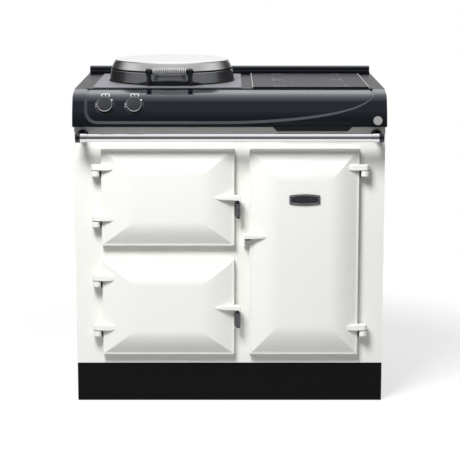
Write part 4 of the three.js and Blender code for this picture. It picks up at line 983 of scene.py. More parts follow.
@dataclass
class Fascia:
    """The quarter-round casting over the doors, with its sunken control panel."""

    body: str = "cooker_body"
    lean: float = 21.5  # degrees the face leans back
    foot_lean: float = 3.0  # degrees at its foot
    knee: float = 48 * MM  # height over which the foot curves to the full lean
    foot_steps: int = 12
    slope: float = 9.0  # degrees the crown falls to the front
    face_height: float = 70 * MM
    crown_length: float = 40 * MM
    cheek: float = 34 * MM
    rib: float = 9 * MM
    recess: float = 4.5 * MM
    recess_lift: float = 9 * MM
    recess_corner: float = 42 * MM
    corner_steps: int = 8
    sweep_steps: int = 48
    sweep_reach: float = 228 * MM
    sweep_start: float = 4 * MM
    sweep_end: float = 34 * MM
    panel_skin: float = 2.2 * MM
    panel_back: float = 4.2 * MM
    panel_edge: float = 0.5 * MM
    wall: float = 14 * MM
    end_wall: float = 8 * MM
    back_depth: float = 47.3 * MM  # from the front to the open back
    back_top: float = 17 * MM  # from the crown down to the open back
    cut_over: float = 3 * MM  # how far a cut goes past the crown
    cut_edge: float = 0.01 * MM
    overlap: float = 0.2 * MM  # of the rib and the marks with the skin
    rib_drop: float = 0.3 * MM
    edge: float = 2.5 * MM
    curve_steps: int = 20
    mark_span: Row = (889.0 * MM, 901.5 * MM)
    mark_width: float = 22 * MM
    mark_bar: float = 2.5 * MM
    mark_root: float = 0.3 * MM
    mark_steps: int = 6
    outlet_edge: float = 1.2 * MM

    def __post_init__(self) -> None:
        """Take the fascia's ends, bottom and top from the CAD."""
        self.low, self.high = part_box("fascia")

    def line(self, depth: float, bottom: float) -> list[Row]:
        """Outer line of the fascia in Y and Z.

        Args:
            depth: distance inside the outer skin.
            bottom: height it starts at.

        Returns:
            The points, from the bottom of the face to the back of the crown.
        """
        front, crown, rear = self.low.y + depth, self.high.z - depth, self.high.y
        lean, fall, foot = (
            math.tan(math.radians(angle)) for angle in (self.lean, self.slope, self.foot_lean)
        )
        base = self.low.z
        corner_z = (crown - fall * (rear - front + lean * base)) / (1 - fall * lean)
        corner = Vector((front + lean * (corner_z - base), corner_z))
        start = Vector((front + lean * self.face_height, base + self.face_height))
        end = Vector((rear - self.crown_length, crown - fall * self.crown_length))
        points, lowest = [], (bottom - base) / self.knee
        for step in range(self.foot_steps):
            share = lowest + (1 - lowest) * step / self.foot_steps
            short = foot * (1 - share) + (lean - foot) * (1 - share**2) / 2
            points.append((front + self.knee * (lean - short), base + share * self.knee))
        points += [tuple(point) for point in bend(start, corner, end, self.curve_steps)]
        return [*points, (rear, crown)]

    def depth_at(self, z: float, depth: float) -> float:
        """Place of the skin, in Y, at a height."""
        points = self.line(depth, self.low.z)
        for (y0, z0), (y1, z1) in zip(points, points[1:]):
            if z <= z1:
                return y0 + (y1 - y0) * (z - z0) / (z1 - z0)
        return points[-1][0]

    def section(self, depth: float, bottom: float) -> list[Row]:
        """Closed section of the fascia in Y and Z."""
        return [(self.high.y, bottom), *self.line(depth, bottom)]

    def recess_line(self, inset: float, top: float) -> list[Row]:
        """Edge of the recess in X and Z, from its top left round to its top right.

        Args:
            inset: distance inside the recess's own edge.
            top: height at which the left side starts.

        Returns:
            The points.
        """
        left = self.low.x + self.cheek + inset
        right = self.high.x - self.cheek - inset
        bottom = self.low.z + self.recess_lift + inset
        radius = self.recess_corner - inset
        middle = (left + right) / 2
        heights = [z for _, z in reversed(self.line(inset / 2, self.low.z)) if z < top]
        points = [(left, top)] + [(left, z) for z in heights if z > bottom + radius + MM]
        for step in range(self.corner_steps + 1):
            share = step / self.corner_steps
            points.append((left + radius * share**2, bottom + radius * (1 - share) ** 2))
        sweep = [
            Vector((middle, bottom)),
            Vector((middle + self.sweep_reach, bottom + self.sweep_start)),
            Vector((right, bottom + self.sweep_end)),
            Vector((right, self.high.z - inset)),
        ]
        for step in range(self.sweep_steps + 1):
            share = step / self.sweep_steps
            rest = 1 - share
            weights = rest**3, 3 * share * rest**2, 3 * share**2 * rest, share**3
            point = sum((p * w for p, w in zip(sweep, weights)), Vector((0, 0)))
            points.append(tuple(point))
        return points

    def casting(self) -> None:
        """Cast the shell, open its back, and cut the recess and the outlet's slot."""
        ends = (self.low.x, self.high.x)
        shell = prism("fascia_casting", self.section(0, self.low.z), "X", ends)
        inside = (ends[0] + self.end_wall, ends[1] - self.end_wall)
        hollow = prism("hollow", self.section(self.wall, self.low.z + self.wall), "X", inside)
        round_over(shell, self.edge, 3, 40)
        combine(shell, hollow)
        back = block(
            "back",
            (inside[0], self.low.y + self.back_depth, self.low.z - self.wall),
            (inside[1], self.high.y + self.wall, self.high.z - self.back_top),
            self.cut_edge,
        )
        combine(shell, back)
        over = self.high.z + self.cut_over
        outline = [*self.recess_line(0, over), (self.high.x - self.cheek, over)]
        mould = prism("mould", outline, "Y", (self.low.y - MM, self.high.y + MM))
        below = self.section(self.recess, self.low.z - MM)
        floor = prism("floor", below, "X", (ends[0] - MM, ends[1] + MM))
        combine(mould, floor)
        combine(shell, mould)
        low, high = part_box("cooling_outlet")
        gap = Vector((SEAT, SEAT, SEAT))
        combine(shell, block("slot", low - gap, high + gap, self.cut_edge))
        dress(smooth(shell, 30), BLACK_ENAMEL, self.body, "fascia")

    def sloped_rib(self) -> None:
        """Lay the sloped rib round the recess, from the skin down to the floor."""
        top = self.high.z - self.rib_drop
        outer = self.recess_line(0, top)
        inner = self.recess_line(self.rib, self.high.z - self.recess)
        rows = [
            [(x, self.depth_at(z, self.overlap), z) for x, z in outer],
            [(x, self.depth_at(z, self.recess - self.overlap), z) for x, z in inner],
            [(x, self.depth_at(z, self.recess - self.overlap / 2), z) for x, z in outer],
        ]
        rows.append(rows[0])
        count = min(len(row) for row in rows)
        rows = [self.spread(row, count) for row in rows]
        deselect()
        bpy.ops.mesh.primitive_grid_add(x_subdivisions=len(rows) - 1, y_subdivisions=count - 1)
        rib = added("fascia_rib")
        for index, corner in enumerate(rib.data.vertices):
            along, across = divmod(index, len(rows))
            corner.co = rows[across][along]
        close_up(rib)
        pick(rib, "FACE", lambda face: False)
        bpy.ops.mesh.select_all(action="SELECT")
        bpy.ops.mesh.fill_holes(sides=4)
        bpy.ops.mesh.normals_make_consistent(inside=False)
        leave_edit()
        # The rib's slate grey is a painted highlight: the light its slope catches from above.
        dress(smooth(rib, 25), RIB_HIGHLIGHT_ENAMEL, self.body)

    @staticmethod
    def spread(row: list[Triple], count: int) -> list[Vector]:
        """Space points evenly along a row."""
        points = [Vector(point) for point in row]
        steps = [(b - a).length for a, b in zip(points, points[1:])]
        total, spaced = sum(steps), []
        for index in range(count):
            left = total * index / (count - 1)
            at = 0
            while at < len(steps) - 1 and left > steps[at]:
                left -= steps[at]
                at += 1
            share = min(1.0, left / max(steps[at], TINY))
            spaced.append(points[at].lerp(points[at + 1], share))
        return spaced

    def panel(self) -> None:
        """Cut the control panel to the recess."""
        over = self.high.z + self.cut_over
        ends = (self.low.x, self.high.x)
        skin, back = (self.line(depth, self.low.z) for depth in (self.panel_skin, self.panel_back))
        sheet = [*skin, *reversed(back)]
        panel = prism("control_panel_finished", sheet, "X", ends)
        inset = self.rib + SEAT
        edge = self.recess_line(inset, over) + [(self.high.x - self.cheek - inset, over)]
        combine(panel, prism("edge", edge, "Y", (self.low.y - MM, self.high.y + MM)), "INTERSECT")
        panel = smooth(round_over(panel, self.panel_edge, 2, 40), 30)
        dress(panel, PANEL_GLOSS, self.body, "control_panel")

    def marks(self) -> None:
        """Print a plain two-box mark on the panel above each knob."""
        low, high = self.mark_span
        half, bar = self.mark_width / 2, self.mark_bar
        depths = self.panel_skin - self.overlap, self.panel_skin + self.mark_root
        shares = [step / self.mark_steps for step in range(self.mark_steps + 1)]
        for side in ("left", "right"):
            x = JOINTS[f"knob_{side}_turn"]["pos_m"][0]
            spans = [(x + at - bar / 2, x + at + bar / 2, low, high) for at in (-half, 0.0, half)]
            spans += [(x - half, x + half, z - bar / 3, z + bar / 3) for z in (low, high)]
            bars = []
            for x0, x1, z0, z1 in spans:
                levels = [z0 + (z1 - z0) * share for share in shares]
                face, root = ([(self.depth_at(z, depth), z) for z in levels] for depth in depths)
                bars.append(prism("bar", [*face, *reversed(root)], "X", (x0, x1)))
            dress(join(bars, f"panel_mark_{side}"), PANEL_PRINT, self.body)

    def outlet(self) -> None:
        """Refine the cooling outlet."""
        refit("cooling_outlet", BLACK_STEEL, self.body, self.outlet_edge)

    def build(self) -> None:
        """Build the fascia."""
        self.casting()
        self.sloped_rib()
        self.panel()
        self.marks()
        self.outlet()


# ---- controls


@dataclass
class Controls:
    """The two rotary knobs with their bezels, and the round plate."""

    lean: float = 21.5
    knob_radius: float = 22.5 * MM
    knob_height: float = 16 * MM
    stem_radius: float = 5 * MM
    stem_length: float = 30 * MM
    ring_width: float = 2.6 * MM
    bezel_radius: float = 29 * MM
    bezel_height: float = 3 * MM
    bezel_bore: float = 6 * MM
    collar_radius: float = 9 * MM
    collar_depth: float = 1.5 * MM
    plate_radius: float = 13 * MM
    plate_height: float = 3 * MM
    tick_angles: Row = (172.0, 188.0)
    tick_size: Triple = (4 * MM, 1.3 * MM, 0.4 * MM)
    tick_inset: float = 3.4 * MM
    tick_edge: float = 0.1 * MM
    pointer_angle: float = 34.0
    pointer_size: Triple = (5 * MM, 3.4 * MM, 7 * MM)
    pointer_proud: float = 1.2 * MM  # its middle past the knob's side
    pointer_lift: float = 6 * MM
    pointer_edge: float = 0.8 * MM
    plate_stem: float = 2 * MM
    plate_seat: float = 0.15 * MM
    module_edge: float = 1.5 * MM

    def __post_init__(self) -> None:
        """Find the leaning face's normal and its upward direction."""
        lean = math.radians(self.lean)
        self.normal = Vector((0, -math.cos(lean), math.sin(lean)))
        self.up = Vector((0, math.sin(lean), math.cos(lean)))
        self.across = Vector((1, 0, 0))

    def seat(self, joint: str) -> Vector:
        """Point on the panel's skin under a knob."""
        return Vector(JOINTS[joint]["pos_m"])

    def knob(self, side: str) -> None:
        """Build one knob with its trim ring and pointer."""
        body = f"control_knob_{side}"
        seat = self.seat(f"knob_{side}_turn")
        base = SEAT + self.bezel_height + SEAT
        top = base + self.knob_height
        radius = self.knob_radius
        rows = [
            (0, base - self.stem_length),
            (self.stem_radius, base - self.stem_length),
            (self.stem_radius, base),
            (radius - 1.5 * MM, base),
            (radius - 1.2 * MM, base + 4 * MM),
            (radius - 2 * MM, top - 4 * MM),
            *arc((radius - 5 * MM, top - 4.6 * MM), 3 * MM, 10, 80, 4),
            (radius * 0.5, top - 1.1 * MM),
            (0, top - 0.8 * MM),
        ]
        piece = smooth(turned(f"knob_{side}_body", rows, seat, self.normal, 64), 40)
        dress(piece, PHENOLIC, body, f"knob_{side}")
        ring = [
            (radius - self.ring_width, top - 3.6 * MM),
            (radius - 1.2 * MM, top - 4.4 * MM),
            (radius - 0.5 * MM, top - 3.6 * MM),
            *arc((radius - 1.4 * MM, top - 2.6 * MM), 0.9 * MM, 0, 90, 4),
            (radius - self.ring_width, top - 2.0 * MM),
        ]
        trim = turned(f"knob_{side}_trim_ring", ring, seat, self.normal, 64)
        dress(smooth(trim, 40), CHROME, body)
        out, side_way = self.spoke(self.pointer_angle)
        reach, lift = radius + self.pointer_proud, base + self.pointer_lift
        centre, axes = seat + out * reach + self.normal * lift, (out, side_way, self.normal)
        tab = slip(f"knob_{side}_pointer", centre, axes, self.pointer_size, self.pointer_edge)
        dress(smooth(tab), PRINT, body)

    def spoke(self, angle: float) -> tuple[Vector, Vector]:
        """Directions out from a knob's axis and across, at an angle in degrees."""
        turn = math.radians(angle)
        out = self.across * math.cos(turn) + self.up * math.sin(turn)
        return out, self.normal.cross(out)

    def bezel(self, side: str) -> None:
        """Build one bezel with its two marks."""
        seat = self.seat(f"knob_{side}_turn")
        r, h = self.bezel_radius, SEAT + self.bezel_height
        rows = [
            (self.bezel_bore, -self.collar_depth),
            (self.collar_radius, -self.collar_depth),
            (self.collar_radius, SEAT),
            (r - 0.6 * MM, SEAT),
            *arc((r - 1.5 * MM, h - 1.5 * MM), 1.5 * MM, 0, 90, 4),
            (r - 4 * MM, h),
            (self.bezel_bore, h - 0.6 * MM),
        ]
        piece = smooth(turned(f"knob_bezel_{side}_finished", rows, seat, self.normal, 72), 40)
        dress(piece, PHENOLIC, "cooker_body", f"knob_bezel_{side}")
        ticks = []
        for angle in self.tick_angles:
            out, side_way = self.spoke(angle)
            centre = seat + out * (r - self.tick_inset) + self.normal * h
            axes = (out, side_way, self.normal)
            ticks.append(slip("tick", centre, axes, self.tick_size, self.tick_edge))
        dress(join(ticks, f"knob_bezel_{side}_ticks"), PRINT, "cooker_body")

    def round_plate(self) -> None:
        """Build the bare round plate with its plain ring."""
        low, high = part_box("round_plate")
        middle = (low + high) / 2
        r, h = self.plate_radius, self.plate_height
        seat = middle - self.normal * (h / 2 - self.plate_seat)
        rows = [
            (0, -self.plate_stem),
            (r - 0.4 * MM, -self.plate_stem),
            *arc((r - 1.2 * MM, h - 1.2 * MM), 1.2 * MM, 0, 90, 4),
            (r - 2.4 * MM, h),
            (r - 2.8 * MM, h - 0.7 * MM),
            (r - 5.2 * MM, h - 0.7 * MM),
            (r - 5.6 * MM, h),
            (0, h),
        ]
        piece = smooth(turned("round_plate_finished", rows, seat, self.normal, 64), 30)
        dress(piece, SATIN_NICKEL, "cooker_body", "round_plate")

    def build(self) -> None:
        """Build the controls."""
        for side in ("left", "right"):
            self.bezel(side)
            self.knob(side)
        self.round_plate()
        refit("switch_module", BLACK_PLASTIC, "cooker_body", self.module_edge)


# ---- towel rail


@dataclass
class TowelRail:
    """Chromed rail between two black brackets."""

    body: str = "cooker_body"
    cap_radius: float = 14 * MM
    cap_length: float = 14 * MM
    cap_rounding: float = 3 * MM
    cap_lip: float = 1.5 * MM
    ferrule_radius: float = 12.9 * MM
    ferrule_bore: float = 12.1 * MM
    ferrule_cup: float = 6.1 * MM  # how deep it takes the rail's end
    ferrule_lip: float = 0.8 * MM
    ferrule_gap: float = 0.05 * MM
    rail_rounding: float = 1 * MM
    flange_radius: float = 17 * MM
    flange_thickness: float = 5 * MM
    post_radius: float = 9 * MM
    post_inset: float = 17 * MM  # from the cap's end to the post's axis

    def rail(self) -> None:
        """Turn the rail."""
        low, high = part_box("towel_rail")
        radius = (high.z - low.z) / 2
        foot = (low.x, (low.y + high.y) / 2, (low.z + high.z) / 2)
        profile = rounded_rod(radius, high.x - low.x, self.rail_rounding)
        rail = smooth(turned("towel_rail_finished", profile, foot, (1, 0, 0), 64))
        dress(rail, CHROME, self.body, "towel_rail")

    def bracket(self, side: str) -> None:
        """Turn one bracket: flange, post and end cap, with a chromed ferrule inside it."""
        low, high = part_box(f"rail_bracket_{side}")
        rail_low, rail_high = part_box("towel_rail")
        axis_y, axis_z = (rail_low.y + rail_high.y) / 2, (rail_low.z + rail_high.z) / 2
        sign = -1 if side == "left" else 1
        outer = low.x if side == "left" else high.x
        length = high.x - low.x
        radius, rounding = self.cap_radius, self.cap_rounding
        cap = [
            (0, 0),
            *arc((radius - rounding, rounding), rounding, -90, 0, 5),
            (radius, self.cap_length - self.cap_lip),
            (radius - self.cap_lip, self.cap_length),
            (0, self.cap_length),
        ]
        cup = turned("cup", cap, (outer, axis_y, axis_z), (-sign, 0, 0), 48)
        radius, start = self.ferrule_radius, self.cap_length + self.ferrule_gap
        sleeve = [
            (0, start),
            (radius, start),
            (radius, length - self.ferrule_lip),
            (radius - self.ferrule_lip, length),
            (self.ferrule_bore, length),
            (self.ferrule_bore, length - self.ferrule_cup),
            (0, length - self.ferrule_cup),
        ]
        ferrule = turned(f"rail_ferrule_{side}", sleeve, (outer, axis_y, axis_z), (-sign, 0, 0), 64)
        dress(smooth(ferrule, 30), CHROME, self.body)
        middle = outer - sign * self.post_inset
        seat = high.y
        reach = seat - axis_y
        flange, post = self.flange_radius, self.post_radius
        stem = [
            (0, 0),
            (flange - 0.8 * MM, 0),
            *arc((flange - 2 * MM, self.flange_thickness - 2 * MM), 2 * MM, 0, 90, 4),
            (post + 2.5 * MM, self.flange_thickness),
            (post + 0.6 * MM, self.flange_thickness + 2 * MM),
            (post, self.flange_thickness + 6 * MM),
            (post, reach),
            (0, reach),
        ]
        arm = turned("arm", stem, (middle, seat, axis_z), (0, -1, 0), 48)
        bracket = smooth(join([cup, arm], f"rail_bracket_{side}_finished"), 30)
        dress(bracket, BLACK_ENAMEL, self.body, f"rail_bracket_{side}")

    def build(self) -> None:
        """Build the rail and its brackets."""
        self.rail()
        self.bracket("left")
        self.bracket("right")


# ---- doors


class CatchEnd(Enum):
    """What hangs from the free end of a door's catch lug."""

    COIL = "a coil handle"
    HOOK = "a hook"


@dataclass
class OvenDoor:
    """A crowned cast door with its lugs, liner, rope seal and catch."""

    name: str
    side: int  # -1 where the hinge is on the left, 1 on the right
    bevel: Row
    catch_end: CatchEnd
    edge: float = 19 * MM
    crown: float = 22 * MM
    rim: float = 6 * MM
    edge_rounding: float = 2.6 * MM
    mitre_rounding: float = 2 * MM
    crown_steps: int = 22
    liner_margin: float = 21 * MM
    liner_edge: float = 2 * MM
    pocket_inset: float = 20 * MM
    pocket_depth: float = 12 * MM
    lug_height: float = 17 * MM
    lug_reach: float = 46 * MM
    lug_root: float = 14 * MM  # where its underside meets the bevel
    lug_nose: float = 0.62  # height of its inner end, as a share
    lug_edge: float = 2 * MM
    boss: float = 12 * MM
    pin_radius: float = 5 * MM
    block_height: float = 16 * MM
    block_neck: float = 23 * MM
    play: float = 1.2 * MM
    catch_height: float = 15 * MM
    catch_thickness: float = 16 * MM
    catch_proud: float = 38 * MM
    catch_reach: float = 69 * MM
    catch_overhang: float = 18 * MM
    catch_root: float = 20 * MM  # where its underside meets the bevel
    catch_edge: float = 1.8 * MM
    catch_rise: float = 49 * MM  # over the middle of a door without a coil
    handle_gap: float = 6 * MM  # from the catch lug to the coil
    tip_lift: float = 1 * MM
    waist_share: float = 0.72
    tip_share: float = 0.3
    tab_drop: float = 4.5 * MM
    hook_drop: float = 8 * MM
    hook_thickness: float = 4 * MM
    hook_edge: float = 1.2 * MM
    hook_inset: float = 0.3 * MM  # its sides inside those of the catch lug
    # Black pad under the hooked catch's blade, painted shadow of the slot there:
    shadow_pad_length: float = 17 * MM
    shadow_pad_thickness: float = 3 * MM
    shadow_pad_edge: float = 0.8 * MM
    coil_radius: float = 7.4 * MM
    coil_wire: float = 1.6 * MM
    coil_core: float = 5.6 * MM
    coil_turns: int = 9
    button_drop: float = 3.3 * MM
    button_radius: float = 6 * MM
    button_rounding: float = 1.5 * MM
    neck_radius: float = 3 * MM
    # Black rod beside each coil handle, painted shadow of the handle:
    shadow_rod_radius: float = 1.4 * MM
    shadow_rod_reach: float = 8.9 * MM
    shadow_rod_rise: float = 5.2 * MM
    shadow_rod_steps: int = 6
    block_edge: float = 1.5 * MM
    pin_rounding: float = 1 * MM
    # Black wedge beside each hinge block, painted shadow of the gap between block and door:
    shadow_wedge_half: float = 3.5 * MM
    shadow_wedge_gap: float = 0.3 * MM
    shadow_wedge_thickness: float = 3.1 * MM
    shadow_wedge_drop: float = 4 * MM
    shadow_wedge_taper: float = 1.5 * MM
    shadow_wedge_edge: float = 0.3 * MM
    rope_radius: float = 4 * MM
    rope_inset: float = 10 * MM
    rope_corner: float = 10 * MM
    rope_seat: float = 1.2 * MM  # how far it is pressed past the door's back

    def __post_init__(self) -> None:
        """Take the slab and its places from the CAD."""
        low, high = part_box(f"door_liner_{self.name}")
        margin = Vector((self.liner_margin, 0, self.liner_margin))
        self.low, self.high = low - margin, high + margin
        self.body = f"door_{self.name}"
        self.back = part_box(self.body)[1].y
        self.front = self.back - self.edge
        self.face_y = self.back + self.play
        self.hinge = Vector(JOINTS[f"door_{self.name}_hinge"]["pos_m"])
        lug_rise = self.block_height + self.play + self.lug_height / 2
        self.levels = [
            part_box(f"hinge_bracket_{self.name}_{word}")[0].z + lug_rise
            for word in ("lower", "upper")
        ]
        self.free_x = self.high.x if self.side < 0 else self.low.x
        self.hinge_x = self.low.x if self.side < 0 else self.high.x

    def slab(self) -> Object:
        """Raise the crown ring by ring, then close the back round the liner's pocket."""
        size = Vector((self.high.x - self.low.x, self.high.z - self.low.z))
        middle = Vector(((self.low.x + self.high.x) / 2, self.front, (self.low.z + self.high.z) / 2))
        deselect()
        bpy.ops.mesh.primitive_plane_add(size=1, location=middle, rotation=(math.pi / 2, 0, 0))
        slab = added(f"door_{self.name}_casting")
        slab.scale = (size.x, size.y, 1)
        settle(slab)
        pick(slab, "FACE", lambda face: True)
        now, proud = size.copy(), 0.0
        for step in range(self.crown_steps + 1):
            share = step / self.crown_steps
            inset = Vector([self.rim + (bevel - self.rim) * share for bevel in self.bevel])
            then, rise = size - 2 * inset, self.crown * math.sin(math.pi / 2 * share)
            extrude(Vector((0, proud - rise, 0)))
            bpy.ops.transform.resize(
                value=(then.x / now.x, 1, then.y / now.y), center_override=tuple(middle)
            )
            now, proud = then, rise
        leave_edit()
        whole = size.x * size.y
        pick(slab, "FACE", lambda face: face.area > 0.99 * whole)
        bpy.ops.mesh.delete(type="ONLY_FACE")
        leave_edit()
        pick(slab, "EDGE", lambda a, b: abs(a.x - b.x) > TINY and abs(a.z - b.z) > TINY)
        bpy.ops.mesh.bevel(offset=self.mitre_rounding, segments=2, affect="EDGES")
        leave_edit()
        self.close_back(slab, size, middle)
        return slab

    def on_rim(self, corner: Vector) -> bool:
        """Whether a point is on the outline of the slab, with its rounded corners."""
        within = self.mitre_rounding * 0.6
        return (
            min(abs(corner.x - self.low.x), abs(corner.x - self.high.x)) < within
            or min(abs(corner.z - self.low.z), abs(corner.z - self.high.z)) < within
        )

    def close_back(self, slab: Object, size: Vector, middle: Vector) -> None:
        """Give the slab its sides, its back rim and the liner's pocket."""
        pick(slab, "EDGE", lambda a, b: False)
        bpy.ops.mesh.select_non_manifold()
        extrude(Vector((0, self.edge, 0)))
        extrude(Vector((0, 0, 0)))
        room = size - 2 * Vector((self.pocket_inset, self.pocket_inset))
        bpy.ops.transform.resize(
            value=(room.x / size.x, 1, room.y / size.y), center_override=tuple(middle)
        )
        extrude(Vector((0, -self.pocket_depth, 0)))
        bpy.ops.mesh.edge_face_add()
        leave_edit()
        close_up(slab)
        pick(
            slab,
            "EDGE",
            lambda a, b: self.on_rim(a) and self.on_rim(b) and abs(a.y - b.y) < TINY,
        )
        bpy.ops.mesh.bevel(offset=self.edge_rounding, segments=4, affect="EDGES")
        leave_edit()

    def hinge_lug(self, level: float) -> Object:
        """Shape one hinge lug: a round boss that runs out on the bevel."""
        side, axis = self.side, self.hinge
        edge_x = self.hinge_x
        round_end = [
            (axis.x + side * self.boss * math.cos(a), axis.y + self.boss * math.sin(a))
            for a in (math.radians(90 - 180 * step / 16) for step in range(17))
        ]
        outline = [
            *round_end,
            (edge_x - side * self.lug_reach * 0.5, axis.y - self.boss),
            (edge_x - side * self.lug_reach, axis.y - self.boss + 1.5 * MM),
            (edge_x - side * self.lug_root, self.face_y - self.edge),
            (edge_x, axis.y + self.boss),
        ]
        half = self.lug_height / 2
        lug = prism(f"lug_{self.name}", outline, "Z", (level - half, level + half))
        pick(lug, "VERT", lambda at: (edge_x - at.x) * side > self.lug_reach * 0.8)
        centre = (edge_x, axis.y, level)
        bpy.ops.transform.resize(value=(1, 1, self.lug_nose), center_override=centre)
        leave_edit()
        return round_over(lug, self.lug_edge, 3, 30)

    def catch_lug(self) -> Object:
        """Shape the catch's blade, pointed at its inner end."""
        side, edge_x = self.side, self.free_x
        front = self.face_y - self.catch_proud
        back = front + self.catch_thickness
        level = self.catch_level()
        outline = [
            (edge_x - side * self.catch_overhang, front),
            (edge_x + side * self.catch_reach * 0.55, front),
            (edge_x + side * self.catch_reach, front + 1 * MM),
            (edge_x + side * self.catch_root, self.face_y - self.edge),
            (edge_x, back),
            (edge_x - side * self.catch_overhang, back),
        ]
        half = self.catch_height / 2
        lug = prism(f"catch_{self.name}", outline, "Z", (level - half, level + half))
        tip = (edge_x, front, level + self.tip_lift)
        for start, share in ((0.5, self.waist_share), (0.8, self.tip_share)):
            past = self.catch_reach * start
            pick(lug, "VERT", lambda at, past=past: (at.x - edge_x) * side > past)
            bpy.ops.transform.resize(value=(1, 1, share), center_override=tip)
        leave_edit()
        return round_over(lug, self.catch_edge, 3, 30)

    def catch_level(self) -> float:
        """Height of the middle of the catch lug."""
        if self.catch_end is CatchEnd.COIL:
            coil_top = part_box(f"door_handle_{self.name}")[1].z
            return coil_top + self.handle_gap + self.catch_height / 2
        return (self.low.z + self.high.z) / 2 + self.catch_rise

    def casting(self) -> None:
        """Join the slab, its lugs and the catch's tab or hook, and lay a black pad under the blade beside
        the hook as painted shadow of the slot there.
        """
        parts = [self.slab(), *(self.hinge_lug(level) for level in self.levels), self.catch_lug()]
        outer = self.free_x - self.side * (self.catch_overhang - self.hook_inset)
        inner = outer + self.side * self.hook_thickness
        level = self.catch_level()
        front = self.face_y - self.catch_proud
        hooked = self.catch_end is CatchEnd.HOOK
        drop = self.hook_drop if hooked else self.tab_drop
        parts.append(
            block(
                "hook",
                (min(outer, inner), front + 0.4 * MM, level - self.catch_height / 2 - drop),
                (max(outer, inner), front + self.catch_thickness - 0.4 * MM, level),
                self.hook_edge,
            )
        )
        if hooked:
            inner_end = inner + self.side * self.shadow_pad_length
            bottom = level - self.catch_height / 2
            # Black pad under the blade: painted shadow of the slot between blade and keeper.
            pad = block(
                f"catch_buffer_{self.name}",
                (min(inner, inner_end), front + 0.6 * MM, bottom - self.shadow_pad_thickness),
                (max(inner, inner_end), front + self.catch_thickness - 1 * MM, bottom + 0.2 * MM),
                self.shadow_pad_edge,
            )
            dress(smooth(pad), SILICONE_AND_SHADOW, self.body)
        casting = smooth(join(parts, f"door_{self.name}_casting"), 32)
        dress(casting, WHITE_ENAMEL, self.body, self.body)

    def handle(self) -> None:
        """Wind the coil handle round its stem, with a button at its foot, and bend a black rod up its left
        side and over its top as painted shadow of the handle.
        """
        node = f"door_handle_{self.name}"
        low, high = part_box(node)
        middle = (low + high) / 2
        foot = Vector((middle.x, middle.y, low.z))
        height = high.z - low.z
        wound = self.coil_radius, self.coil_wire, height, self.coil_turns
        grip = coil(f"{node}_coil", foot, (0, 0, 1), *wound)
        # The coil's mid grey is painted shade on bright spring wire.
        dress(smooth(grip, 60), DARKENED_SPRING_WIRE, self.body, node)
        drop = foot - Vector((0, 0, self.button_drop))
        rise, rounding = high.z - drop.z, self.button_rounding
        rows = [
            (0, 0),
            *arc((self.button_radius - rounding, rounding), rounding, -90, 90, 5),
            (self.coil_core, self.button_drop + 0.1 * MM),
            (self.coil_core, rise + 1 * MM),
            (self.neck_radius, rise + 3 * MM),
            (self.neck_radius, rise + self.handle_gap + 1 * MM),
            (0, rise + self.handle_gap + 1 * MM),
        ]
        dress(smooth(turned(f"{node}_stem", rows, drop, (0, 0, 1), 24)), SILICONE_AND_SHADOW, self.body)
        side_x, shoulder = foot.x - self.shadow_rod_reach, high.z - 1 * MM
        route = [(side_x, foot.y, low.z + 2 * MM), (side_x, foot.y, shoulder)]
        for step in range(1, self.shadow_rod_steps + 1):
            turn = math.radians(90 * step / self.shadow_rod_steps)
            x = foot.x - self.shadow_rod_reach * math.cos(turn)
            route.append((x, foot.y, shoulder + self.shadow_rod_rise * math.sin(turn)))
        # A black rod up the coil's left side and over its top: painted shadow of the handle.
        shadow_rod = sweep(f"{node}_bail", route, self.shadow_rod_radius)
        dress(smooth(shadow_rod, 60), SILICONE_AND_SHADOW, self.body)

    def liner(self) -> None:
        """Refine the liner and lay the rope seal round it."""
        refit(f"door_liner_{self.name}", CAST_ALUMINIUM, self.body, self.liner_edge, 3)
        inset = self.rope_inset
        y = self.back + self.rope_seat - self.rope_radius
        first, last = (self.low.x + inset, self.low.z + inset), (self.high.x - inset, self.high.z - inset)
        route = [(x, y, z) for x, z in rounded_box(first, last, self.rope_corner)]
        rope = sweep(f"door_{self.name}_rope", route, self.rope_radius, True)
        dress(smooth(rope, 60), ROPE, self.body)

    def brackets(self) -> None:
        """Shape the two hinge brackets, each with its pin and its washer, whose black stands in for the
        shadow in the hinge's play, and a black wedge between block and door as painted shadow of that gap.
        """
        for word, level in zip(("lower", "upper"), self.levels):
            node = f"hinge_bracket_{self.name}_{word}"
            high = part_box(node)[1]
            top = level - self.lug_height / 2 - self.play
            half = self.block_neck / 2
            axis = self.hinge
            front = [
                (axis.x + self.boss * math.cos(a), axis.y - self.boss * math.sin(a))
                for a in (math.radians(180 * step / 20) for step in range(21))
            ]
            outline = [(axis.x + half, high.y), *front, (axis.x - half, high.y)]
            levels = top - self.block_height, top
            blocks = prism(f"{node}_block", outline, "Z", levels, self.block_edge)
            rows = rounded_rod(self.pin_radius, high.z - top + 1 * MM, self.pin_rounding)
            pin = turned(f"{node}_pin", rows, (axis.x, axis.y, top - 1 * MM), (0, 0, 1), 32)
            dress(smooth(join([blocks, pin], node + "_finished")), WHITE_ENAMEL, "cooker_body", node)
            ring = [
                (self.pin_radius + SEAT, 0),
                (self.boss - 0.4 * MM, 0),
                (self.boss - 0.4 * MM, self.play - 2 * SEAT),
                (self.pin_radius + SEAT, self.play - 2 * SEAT),
            ]
            foot = (axis.x, axis.y, top + SEAT)
